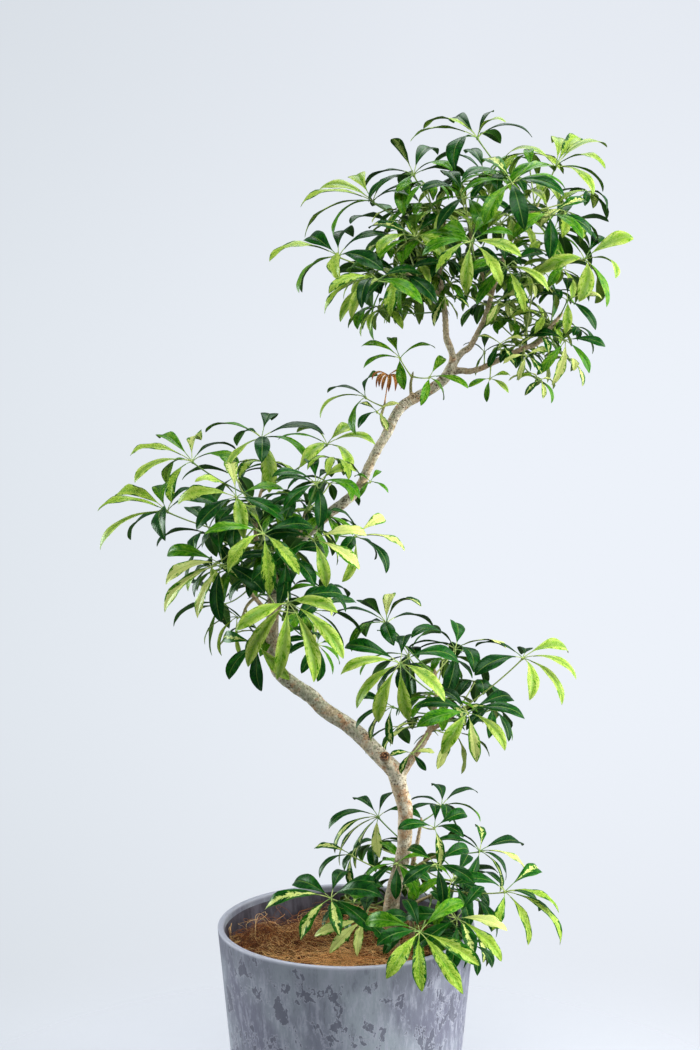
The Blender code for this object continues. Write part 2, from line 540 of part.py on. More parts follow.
def tube(name, points, radii, sides, first=None, last=None):
    """A closed tube along a route. Its ends are flat."""
    corners, faces = [], []
    for (u, v), centre, radius in zip(frames(points, first, last), points, radii):
        for k in range(sides):
            turn = math.tau * k / sides
            corners.append(centre + radius * (math.cos(turn) * u + math.sin(turn) * v))
    for i in range(len(points) - 1):
        for k in range(sides):
            a, b = i * sides + k, i * sides + (k + 1) % sides
            faces.append((a, b, b + sides, a + sides))
    faces.append(tuple(range(sides))[::-1])
    faces.append(tuple(range(len(corners) - sides, len(corners))))
    return solid(name, corners, faces)


def turned(name, profile, sides):
    """A closed round solid from (radius, height) pairs that start and end on the axis."""
    corners, faces = [], []
    ring = [(r, z) for r, z in profile if r > 0]
    for r, z in ring:
        for k in range(sides):
            turn = math.tau * k / sides
            corners.append(Vector((r * math.cos(turn), r * math.sin(turn), z)))
    for i in range(len(ring) - 1):
        for k in range(sides):
            a, b = i * sides + k, i * sides + (k + 1) % sides
            faces.append((a, b, b + sides, a + sides))
    for z, start, flip in ((profile[0][1], 0, True), (profile[-1][1], len(ring) - 1, False)):
        centre = len(corners)
        corners.append(Vector((0, 0, z)))
        for k in range(sides):
            a, b = start * sides + k, start * sides + (k + 1) % sides
            faces.append((centre, b, a) if flip else (centre, a, b))
    return solid(name, corners, faces)


def inner_radius(z):
    """The pot's inside radius at a height."""
    slope = (POT_MOUTH_RADIUS - POT_FOOT_RADIUS) / POT_HEIGHT
    return POT_FOOT_RADIUS + slope * z - POT_LIP_WIDTH


def make_pot():
    slope = (POT_MOUTH_RADIUS - POT_FOOT_RADIUS) / POT_HEIGHT
    profile = [
        (0, 0),
        (POT_FOOT_RADIUS - 0.003, 0),
        (POT_FOOT_RADIUS, 0.003),
        (POT_MOUTH_RADIUS - slope * 0.004, POT_HEIGHT - 0.004),
        (POT_MOUTH_RADIUS - 0.0005, POT_HEIGHT - 0.0012),
        (POT_MOUTH_RADIUS - 0.0024, POT_HEIGHT),
        (POT_MOUTH_RADIUS - POT_LIP_WIDTH + 0.0022, POT_HEIGHT),
        (POT_MOUTH_RADIUS - POT_LIP_WIDTH, POT_HEIGHT - 0.003),
        (inner_radius(POT_FLOOR), POT_FLOOR),
        (0, POT_FLOOR),
    ]
    pot = turned("pot", profile, POT_SIDES)
    finish(pot, 0.75, True)
    return pot


def stem_holes(top):
    """Plain round cutters for the two stems, ending just under their feet."""
    holes = []
    for foot in (TRUNK_FOOT, BASE_SHOOT_FOOT):
        place = seen(*foot[:3])
        low = Vector((place.x, place.y, place.z - GAP))
        high = Vector((place.x, place.y, top))
        radius = foot[3] / 100 + GAP
        holes.append(tube("hole", [low, high], [radius, radius], 16, Vector((0, 0, 1)), Vector((0, 0, 1))))
    return holes


def make_soil():
    floor = POT_FLOOR + GAP
    profile = [
        (0, floor),
        (inner_radius(floor) - 2 * GAP, floor),
        (inner_radius(SOIL_TOP) - 2 * GAP, SOIL_TOP),
        (0, SOIL_TOP),
    ]
    soil = turned("soil", profile, POT_SIDES // 2)
    apply_boolean(soil, "DIFFERENCE", stem_holes(SOIL_TOP + 0.02))
    finish(soil, 0.95)
    return soil


def coir_height(x, y):
    """The fibre's uneven top: a mound to the left, and lumps."""
    lumps = math.sin(61 * x + 9) * math.cos(53 * y - 4) + 0.6 * math.sin(117 * x - 83 * y)
    mound = math.exp(-((x + 0.105) ** 2 + (y + 0.01) ** 2) / 0.0042)
    return COIR_TOP + COIR_MOUND * mound + 0.0019 * lumps


def make_coir():
    base = SOIL_TOP + GAP
    rim = inner_radius(base) - 3 * GAP
    corners = [Vector((0, 0, coir_height(0, 0)))]
    faces = []
    for ring in range(1, COIR_RINGS + 1):
        radius = rim * (ring / COIR_RINGS) ** 0.8
        for k in range(COIR_SIDES):
            turn = math.tau * (k + 0.5 * (ring % 2)) / COIR_SIDES
            x, y = radius * math.cos(turn), radius * math.sin(turn)
            corners.append(Vector((x, y, coir_height(x, y) - (0.004 if ring == COIR_RINGS else 0))))
    for k in range(COIR_SIDES):
        faces.append((0, 1 + k, 1 + (k + 1) % COIR_SIDES))
    for ring in range(COIR_RINGS - 1):
        for k in range(COIR_SIDES):
            a, b = 1 + ring * COIR_SIDES + k, 1 + ring * COIR_SIDES + (k + 1) % COIR_SIDES
            c, d = a + COIR_SIDES, b + COIR_SIDES
            if ring % 2:
                faces += [(a, c, b), (b, c, d)]
            else:
                faces += [(a, c, d), (a, d, b)]
    edge = 1 + (COIR_RINGS - 1) * COIR_SIDES
    under = len(corners)
    for k in range(COIR_SIDES):
        corners.append(Vector((corners[edge + k].x, corners[edge + k].y, base)))
    for k in range(COIR_SIDES):
        a, b = edge + k, edge + (k + 1) % COIR_SIDES
        faces.append((a, under + k, under + (k + 1) % COIR_SIDES, b))
    faces.append(tuple(range(under, under + COIR_SIDES))[::-1])
    coir = solid("coir_mulch", corners, faces)
    apply_boolean(coir, "DIFFERENCE", stem_holes(COIR_TOP + 0.05))
    finish(coir, 0.95)
    return coir


def heading(name):
    """The direction in which a fork hands over to its shoot."""
    fork, shoot = FORKS[name], SHOOTS[name][0]
    return (seen(*shoot[1][:3]) - seen(*fork[-2][:3])).normalized()


def make_trunk():
    points, radii = placed(TRUNK_ROUTE)
    foot = seen(*TRUNK_FOOT[:3])
    points = [foot, Vector((foot.x, foot.y, COIR_TOP))] + points[1:]
    radii = [TRUNK_FOOT[3] / 100] + radii
    radii = [r * (1 + 0.03 * math.sin(2.3 * i)) for i, r in enumerate(radii)]
    radii[0] = radii[1] = TRUNK_FOOT[3] / 100
    pieces = [tube("trunk", points, radii, TRUNK_SIDES, Vector((0, 0, 1)))]
    for name, fork in FORKS.items():
        route, sizes = placed(fork)
        if len(route) > 2:
            route, sizes = smoothed(route, sizes, 3)
        pieces.append(tube("fork", route, sizes, BRANCH_SIDES, None, heading(name)))
    for stub in (PRUNED_STUB, BASE_STUB):
        pieces.append(tube("stub", *placed(stub), BRANCH_SIDES))
    trunk = fuse("trunk", pieces)
    finish(trunk, 0.85, True)
    return trunk


def nearest(routes, place):
    """The nearest point to a place on any of the routes."""
    best, found = None, None
    for route in routes:
        for a, b in zip(route, route[1:]):
            along = max(0, min(1, (place - a).dot(b - a) / (b - a).length_squared))
            point = a.lerp(b, along)
            if best is None or (point - place).length < best:
                best, found = (point - place).length, point
    return found


def spread(directions):
    """The least angle between any two of the directions."""
    return min(a.angle(b) for a, b in itertools.combinations(directions, 2))


def leaflet_tips(hub, reach, tips):
    """Leaflet tips in metres. Each is where it is seen, as far in front of or behind the hub as its
    length needs, on the side that keeps the leaflets furthest apart. Lower tips come forward."""
    centre = seen(*hub)
    choices = []
    for tip in tips:
        if len(tip) == 3:
            choices.append([(seen(tip[0], hub[1] + tip[2], tip[1]), 0.0)])
            continue
        flat = math.hypot(tip[0] - hub[0], tip[1] - hub[2])
        out = math.sqrt(max((CHORD_SHARE * reach) ** 2 - flat ** 2, 0.04 * reach ** 2))
        lean = 0.25 * (tip[1] - hub[2]) / reach
        choices.append(
            [
                (seen(tip[0], hub[1] - out, tip[1]), -lean),
                (seen(tip[0], hub[1] + out, tip[1]), lean),
            ]
        )
    best, found = None, None
    for option in itertools.product(*choices):
        places = [place for place, _ in option]
        score = spread([place - centre for place in places]) + sum(lean for _, lean in option)
        if best is None or score > best:
            best, found = score, places
    return found


def filled(centre, u, v, axis, reach, ends):
    """The leaflets that other ones hide in the view are added in the widest gaps of a large leaf."""
    ends = list(ends)
    span = CHORD_SHARE * reach / 100
    trunk = [placed(TRUNK_ROUTE)[0]]
    while reach > LARGE_REACH and len(ends) < FULL_LEAF:
        options = []
        for k in range(36):
            turn = math.tau * k / 36
            way = math.cos(turn) * u + math.sin(turn) * v - DROOP * axis
            room = min(way.angle(end - centre) for end in ends)
            place = centre + way.normalized() * span * 0.9
            near = min((nearest(trunk, p) - p).length for p in (place, centre.lerp(place, 0.6)))
            if near > TRUNK_CLEARANCE:
                options.append((room, k, place))
        room, _, place = max(options)
        if room < LEAST_ANGLE:
            break
        ends.append(place)
    return ends


def leaf(name, hub, root, reach, tips):
    """One closed solid: a stalk, a small hub and leaflets around it, each a thin arched keeled blade."""
    centre = seen(*hub)
    stalk = (centre - root).normalized()
    axis = (0.6 * stalk + Vector((0, -0.2, 0.8))).normalized()
    u = axis.cross(Vector((0.31, 0.95, 0.05))).normalized()
    v = axis.cross(u)
    ends = filled(centre, u, v, axis, reach, leaflet_tips(hub, reach, tips))
    ends.sort(key=lambda end: math.atan2((end - centre).dot(v), (end - centre).dot(u)))
    count = len(ends)
    turns = [math.atan2((end - centre).dot(v), (end - centre).dot(u)) for end in ends]
    notches = []
    for i in range(count):
        gap = (turns[(i + 1) % count] - turns[i]) % math.tau
        notches.append(turns[i] + gap / 2)

    def around(turn, radius, drop):
        return centre + radius * (math.cos(turn) * u + math.sin(turn) * v) - drop * axis

    points = [centre + 0.0008 * axis]
    points += [around(turn, HUB_RADIUS, 0.0002) for turn in notches]
    points += [around(turn, HUB_RADIUS * 0.8, 0.0024) for turn in turns]
    faces = []
    stops = LARGE_STOPS if reach > LARGE_REACH else SMALL_STOPS
    for i, end in enumerate(ends):
        left, right = 1 + i, 1 + (i - 1) % count
        keel = 1 + count + i
        faces.append((0, right, left))
        faces.append((left, keel, 1 + count + (i + 1) % count))
        span = (end - centre).length
        room = min((end - centre).angle(other - centre) for other in ends if other is not end)
        blade = HALF_WIDTH * span * min(1, room / LEAST_ANGLE)
        bend = centre.lerp(end, 0.5) + axis * ARCH * span
        for share, width in stops:
            place = centre * (1 - share) ** 2 + 2 * share * (1 - share) * bend + end * share ** 2
            forward = ((bend - centre) * (1 - share) + (end - bend) * share).normalized()
            across = axis.cross(forward).normalized()
            up = forward.cross(across)
            half = max(blade * width, STALK_HALF_WIDTH)
            at = len(points)
            points += [place + across * half, place - across * half, place - up * RIB_DEPTH]
            faces += [
                (right, at + 1, at, left),
                (left, at, at + 2, keel),
                (keel, at + 2, at + 1, right),
            ]
            left, right, keel = at, at + 1, at + 2
        tip = len(points)
        points.append(end)
        faces += [(right, tip, left), (left, tip, keel), (keel, tip, right)]
    petiole(points, faces, centre, axis, root, turns, count)
    return solid(name, points, faces)


def petiole(points, faces, centre, axis, root, turns, count):
    """Add the leaf's stalk, three-sided, from under the hub down into the stem."""
    top = centre - 0.006 * axis
    bend = top.lerp(root, 0.35) - 0.10 * (top - root).length * axis
    route = [top, 0.3025 * top + 0.495 * bend + 0.2025 * root, root]
    rings = []
    u = axis.cross(Vector((0.31, 0.95, 0.05))).normalized()
    for i, place in enumerate(route):
        ahead = (route[min(i + 1, 2)] - route[max(i - 1, 0)]).normalized()
        u = (u - ahead * u.dot(ahead)).normalized()
        w = u.cross(ahead)
        rings.append(len(points))
        for k in range(3):
            turn = turns[0] + math.tau * k / 3
            points.append(place + PETIOLE_RADIUS * (math.cos(turn) * u + math.sin(turn) * w))
    upper = [(turn - turns[0], 1 + count + i) for i, turn in enumerate(turns)]
    lower = [(math.tau * k / 3, rings[0] + k) for k in range(3)]
    i = j = 0
    while i < count or j < 3:
        next_upper = upper[(i + 1) % count][0] + (math.tau if i + 1 >= count else 0)
        next_lower = math.tau * (j + 1) / 3
        if j >= 3 or (i < count and next_upper <= next_lower):
            faces.append((upper[i % count][1], upper[(i + 1) % count][1], lower[j % 3][1]))
            i += 1
        else:
            faces.append((lower[j % 3][1], upper[i % count][1], lower[(j + 1) % 3][1]))
            j += 1
    for a, b in zip(rings, rings[1:]):
        for k in range(3):
            n = (k + 1) % 3
            faces.append((a + k, a + n, b + n, b + k))
    faces.append((rings[-1], rings[-1] + 1, rings[-1] + 2))


def shoot_pieces(routes, start):
    """The stems of a shoot, and their centre lines. The first begins a hair off the fork's flat end."""
    pieces, lines = [], []
    for i, route in enumerate(routes):
        points, radii = placed(route)
        first = None
        if i == 0 and start is not None:
            points[0] = points[0] + start * GAP
            first = start
        lines.append(points)
        pieces.append(tube("stem", points, radii, SHOOT_SIDES, first))
    return pieces, lines


def make_spray(name):
    """A leafy shoot as one body. The exact solver leaves some of its thin leaflets loose."""
    pieces, lines = shoot_pieces(SHOOTS[name], heading(name))
    for hub, root, reach, tips in LEAVES[name]:
        pieces.append(leaf("leaf", hub, nearest(lines, seen(*root)), reach, tips))
    spray = fuse(name, pieces, "MANIFOLD")
    finish(spray, 0.45)
    return spray


def make_base_shoot():
    points, radii = placed(BASE_SHOOT[0])
    foot = seen(*BASE_SHOOT_FOOT[:3])
    radius = BASE_SHOOT_FOOT[3] / 100
    points = [foot, Vector((foot.x, foot.y, COIR_TOP + 0.012))] + points
    pieces, lines = shoot_pieces(BASE_SHOOT[1:], None)
    pieces.insert(0, tube("stem", points, [radius, radius] + radii, BRANCH_SIDES, Vector((0, 0, 1))))
    lines.insert(0, points)
    for hub, root, reach, tips in LEAVES["base_shoot"]:
        pieces.append(leaf("leaf", hub, nearest(lines, seen(*root)), reach, tips))
    shoot = fuse("base_shoot", pieces, "MANIFOLD")
    finish(shoot, 0.45)
    return shoot


def make_brown_bunch():
    """The brown young leaves, whose stalk begins a hair off the upper trunk shoot's tip."""
    route = SHOOTS["upper_trunk_shoot"][0]
    tip, before = seen(*route[-1][:3]), seen(*route[-2][:3])
    start = tip + (tip - before).normalized() * 2 * GAP
    bunch = leaf("brown_leaf_bunch", BROWN_HUB, start, BROWN_REACH, BROWN_TIPS)
    finish(bunch, 0.7)
    return bunch


def main():
    clear_scene()
    make_pot()
    make_soil()
    make_coir()
    make_trunk()
    for name in SHOOTS:
        make_spray(name)
    make_base_shoot()
    make_brown_bunch()


main()
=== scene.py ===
"""The finished look of a potted ashfolia schefflera: its stone-look planter, coir mulch, bent bare trunk
and marked, glossy leaves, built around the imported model.

Metres, Z up, the pot's bottom centre at the origin, the viewer on the -Y side.
"""

import itertools
import logging
import math
from dataclasses import dataclass, field
from enum import Enum

import bpy
import numpy as np
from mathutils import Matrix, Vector, noise


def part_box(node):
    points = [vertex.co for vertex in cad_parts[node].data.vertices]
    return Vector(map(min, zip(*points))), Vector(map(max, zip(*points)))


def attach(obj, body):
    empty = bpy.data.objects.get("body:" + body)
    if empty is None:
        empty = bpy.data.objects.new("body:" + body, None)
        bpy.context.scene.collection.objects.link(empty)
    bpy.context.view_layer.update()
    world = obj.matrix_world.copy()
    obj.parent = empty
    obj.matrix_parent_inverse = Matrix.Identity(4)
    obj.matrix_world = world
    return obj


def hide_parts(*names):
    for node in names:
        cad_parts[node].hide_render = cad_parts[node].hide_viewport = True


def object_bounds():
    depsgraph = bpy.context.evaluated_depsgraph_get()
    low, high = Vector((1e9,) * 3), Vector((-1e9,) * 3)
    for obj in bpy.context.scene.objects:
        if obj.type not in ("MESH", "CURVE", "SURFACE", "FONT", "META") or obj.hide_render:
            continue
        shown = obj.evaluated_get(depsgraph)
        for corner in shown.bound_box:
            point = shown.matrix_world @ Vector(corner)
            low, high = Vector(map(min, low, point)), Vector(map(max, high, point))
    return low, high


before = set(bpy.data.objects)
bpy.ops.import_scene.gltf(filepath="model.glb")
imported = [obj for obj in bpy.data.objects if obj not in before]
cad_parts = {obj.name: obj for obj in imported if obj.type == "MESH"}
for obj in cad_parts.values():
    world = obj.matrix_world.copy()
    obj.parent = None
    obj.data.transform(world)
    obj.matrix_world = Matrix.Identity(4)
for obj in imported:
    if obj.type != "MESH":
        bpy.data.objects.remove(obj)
CAD_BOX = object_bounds()

LOG = logging.getLogger("schefflera")
BODY = "root"

Array = np.ndarray
Colour = tuple[float, float, float]
Material = bpy.types.Material
Random = np.random.Generator
Route = list[Vector]
Socket = bpy.types.NodeSocket
Thing = bpy.types.Object

# How high the coir stands round the stems, in metres.
COIR_TOP = 0.304

# Where the coarser leaflets of filling leaves have their cross-sections, and how these are divided.
INNER_STATIONS = (0.0, 0.06, 0.16, 0.30, 0.46, 0.62, 0.76, 0.88, 0.96)
INNER_COLUMNS = (-1.0, -0.62, -0.2, 0.0, 0.2, 0.62, 1.0)

# Where the plant's shape was read from: a viewer this far in front of the pot's axis, in centimetres.
EYE_X = 0.54
EYE_DISTANCE = 264.8
EYE_Z = 123.5

# How many leaves fill each full shoot between those that are placed, how long their leaflets are, and
# the markings that they are drawn from.
FULLNESS = {
    "crown_left_spray": (18, 0.060, "gmlgdlmc"),
    "crown_right_spray": (24, 0.060, "gmlgdmlc"),
    "crown_low_spray": (11, 0.046, "gclhgd"),
    "mid_right_spray": (8, 0.072, "dgdgch"),
    "mid_left_upper_spray": (8, 0.068, "dgdlmh"),
    "mid_left_inner_spray": (4, 0.064, "dgmg"),
    "mid_left_lower_spray": (5, 0.072, "dgdcl"),
    "mid_left_front_spray": (3, 0.066, "dgdc"),
    "base_shoot": (13, 0.066, "dddghd"),
}

# Each route lists x, depth, z and radius in centimetres. x and z are as seen in the plane y = 0.
TRUNK_ROUTE = (
    (6.3, 0.0, 31.0, 1.25), (6.5, -0.1, 36.5, 1.15), (7.0, -0.3, 39.5, 1.1), (7.8, -0.5, 42.5, 1.08),
    (8.3, -0.7, 45.0, 1.05), (8.4, -0.9, 48.0, 1.06), (8.4, -1.0, 51.0, 1.1), (7.6, -1.0, 54.0, 1.18),
    (7.1, -0.9, 56.0, 1.25), (5.8, -0.6, 57.6, 1.22), (4.0, -0.3, 59.4, 1.15), (2.0, 0.0, 61.5, 1.12),
    (0.0, 0.3, 63.2, 1.1), (-3.0, 0.7, 65.2, 1.1), (-5.0, 1.1, 67.2, 1.08), (-7.6, 1.6, 69.0, 1.05),
    (-9.7, 2.0, 71.0, 1.0), (-10.4, 2.3, 74.0, 0.95), (-10.4, 2.5, 78.0, 0.9), (-10.1, 2.3, 82.0, 0.85),
    (-8.8, 1.9, 86.0, 0.82), (-6.5, 1.4, 89.5, 0.8), (-4.2, 0.9, 91.7, 0.76), (-2.2, 0.4, 93.5, 0.74),
    (0.0, 0.0, 95.1, 0.72), (1.9, -0.3, 97.1, 0.7), (3.2, -0.6, 100.0, 0.67), (4.6, -0.9, 102.7, 0.66),
    (5.9, -1.0, 105.0, 0.68), (6.9, -0.9, 107.2, 0.7), (8.1, -0.7, 108.6, 0.74), (9.8, -0.5, 109.6, 0.72),
    (11.9, -0.3, 110.8, 0.72), (13.6, -0.1, 112.1, 0.76), (14.7, 0.0, 113.7, 0.8),
)
TRUNK_FOOT = (6.35, 0.0, 22.0, 1.25)

# Woody side branches that are part of the trunk. Each ends in a flat face where a leafy shoot begins.
FORKS = {
    "crown_left_spray": ((14.3, 0.0, 113.2, 0.55), (14.8, -0.3, 115.2, 0.5), (13.9, -0.6, 117.9, 0.46)),
    "crown_right_spray": ((14.3, 0.0, 113.2, 0.55), (15.7, 0.3, 115.4, 0.48), (17.2, 0.6, 116.6, 0.44)),
    "crown_low_spray": ((14.0, 0.0, 112.8, 0.5), (15.7, -0.3, 113.3, 0.46), (17.1, -0.6, 113.2, 0.42)),
    "mid_right_spray": ((7.4, -0.9, 55.6, 0.8), (9.7, -0.6, 58.7, 0.62), (11.1, -0.3, 60.9, 0.55)),
    "upper_trunk_shoot": ((5.9, -1.0, 105.0, 0.3), (5.1, -1.2, 105.9, 0.26)),
    "upper_trunk_spray": ((9.2, -0.6, 109.2, 0.3), (9.0, -0.9, 110.5, 0.26)),
    "trunk_leaf_tuft": ((2.0, -0.3, 97.3, 0.26), (2.4, -1.4, 97.4, 0.22)),
    "mid_left_upper_spray": ((-10.0, 2.3, 82.6, 0.5), (-11.2, 2.0, 84.4, 0.42)),
    "mid_left_inner_spray": ((-7.2, 1.6, 88.4, 0.4), (-6.9, 0.1, 89.4, 0.34)),
    "mid_left_lower_spray": ((-10.4, 2.5, 79.0, 0.45), (-11.9, 1.8, 80.2, 0.38)),
    "mid_left_front_spray": ((-10.4, 2.4, 76.4, 0.42), (-10.2, 0.9, 77.2, 0.36)),
}
PRUNED_STUB = ((5.9, -0.9, 57.4, 0.85), (5.4, -2.9, 58.6, 0.74))
BASE_STUB = ((6.8, 0.5, 32.2, 0.4), (7.9, -0.4, 33.6, 0.34))

# Shoots continue a fork, so each first route starts where its fork ends. Later routes branch off.
SHOOTS = {
    "crown_left_spray": (
        (
            (13.9, -0.6, 117.9, 0.42), (13.7, -0.9, 121.1, 0.4), (13.2, -1.0, 124.5, 0.36), (12.9, -0.5, 128.0, 0.32),
            (13.2, 0.3, 131.0, 0.28), (13.6, 1.2, 133.5, 0.22),
        ),
        ((13.3, -1.0, 123.6, 0.28), (10.8, -2.4, 125.2, 0.25), (8.6, -3.2, 126.6, 0.2)),
    ),
    "crown_right_spray": (
        (
            (17.2, 0.6, 116.6, 0.4), (18.2, 0.8, 118.4, 0.38), (19.1, 1.0, 120.3, 0.36), (19.8, 1.0, 122.5, 0.34),
            (20.6, 0.8, 125.5, 0.32), (21.8, 0.4, 129.0, 0.3), (23.4, 0.0, 132.5, 0.27), (25.2, -0.4, 134.6, 0.24),
            (26.2, -0.5, 135.8, 0.2),
        ),
        ((20.1, 1.0, 123.6, 0.28), (18.6, 1.6, 127.0, 0.25), (17.3, 1.6, 130.4, 0.22), (17.0, 1.5, 133.2, 0.18)),
    ),
    "crown_low_spray": (
        (
            (17.1, -0.6, 113.2, 0.4), (18.7, -0.9, 113.6, 0.38), (20.6, -1.2, 114.5, 0.38), (22.5, -1.4, 115.4, 0.36),
            (24.4, -1.5, 116.3, 0.36), (26.5, -1.5, 117.1, 0.34), (27.8, -1.5, 118.6, 0.32),
            (29.6, -1.5, 120.8, 0.24),
        ),
    ),
    "mid_right_spray": (
        (
            (11.1, -0.3, 60.9, 0.5), (11.9, 0.0, 62.4, 0.42), (12.5, 0.2, 65.0, 0.34), (12.8, 0.3, 68.0, 0.28),
            (12.6, 0.4, 70.6, 0.22),
        ),
        ((11.9, 0.0, 62.3, 0.3), (13.9, -0.4, 63.4, 0.26), (15.9, -0.8, 65.0, 0.2)),
    ),
    "upper_trunk_shoot": (((5.1, -1.2, 105.9, 0.22), (4.9, -1.3, 107.0, 0.2), (5.3, -1.0, 108.4, 0.17)),),
    "upper_trunk_spray": (((9.0, -0.9, 110.5, 0.22), (9.0, -1.2, 111.6, 0.2), (9.2, -1.4, 112.6, 0.16)),),
    "trunk_leaf_tuft": (((2.4, -1.4, 97.4, 0.19), (2.8, -2.2, 97.6, 0.15)),),
    "mid_left_upper_spray": (
        (
            (-11.2, 2.0, 84.4, 0.38), (-12.0, 1.6, 86.8, 0.36), (-12.6, 1.0, 89.4, 0.32), (-12.7, 0.5, 92.2, 0.28),
            (-12.3, 0.3, 95.0, 0.24), (-11.6, 0.3, 97.4, 0.19),
        ),
    ),
    "mid_left_inner_spray": (
        ((-6.9, 0.1, 89.4, 0.3), (-6.6, -1.6, 90.6, 0.26), (-6.2, -3.4, 92.0, 0.22), (-5.8, -4.6, 93.4, 0.17)),
    ),
    "mid_left_lower_spray": (
        ((-11.9, 1.8, 80.2, 0.34), (-13.2, 1.0, 81.8, 0.3), (-14.2, -0.2, 83.4, 0.26), (-14.9, -1.4, 84.8, 0.2)),
        ((-12.9, 1.2, 81.4, 0.24), (-14.0, 0.6, 80.2, 0.21), (-14.6, 0.0, 78.8, 0.17)),
    ),
    "mid_left_front_spray": (
        ((-10.2, 0.9, 77.2, 0.32), (-9.9, -0.8, 78.6, 0.28), (-9.5, -2.6, 79.8, 0.24), (-9.1, -4.4, 80.6, 0.19)),
    ),
}
BASE_SHOOT_FOOT = (9.5, 3.4, 22.0, 0.38)
BASE_SHOOT = (
    (
        (9.3, 3.4, 36.0, 0.37), (9.2, 3.4, 40.0, 0.36), (9.7, 3.2, 43.5, 0.34), (10.3, 2.9, 46.5, 0.28),
        (10.7, 2.6, 49.0, 0.2),
    ),
    ((9.3, 3.4, 36.6, 0.26), (11.2, 1.6, 37.6, 0.23), (13.2, -0.6, 38.4, 0.2), (14.8, -2.2, 38.8, 0.16)),
    ((9.35, 3.4, 34.8, 0.24), (6.6, 3.2, 35.8, 0.21), (3.9, 1.6, 36.6, 0.18), (2.2, 0.2, 37.0, 0.15)),
    ((9.5, 3.3, 42.0, 0.24), (11.8, 2.0, 43.4, 0.21), (14.4, 0.8, 44.4, 0.17)),
)

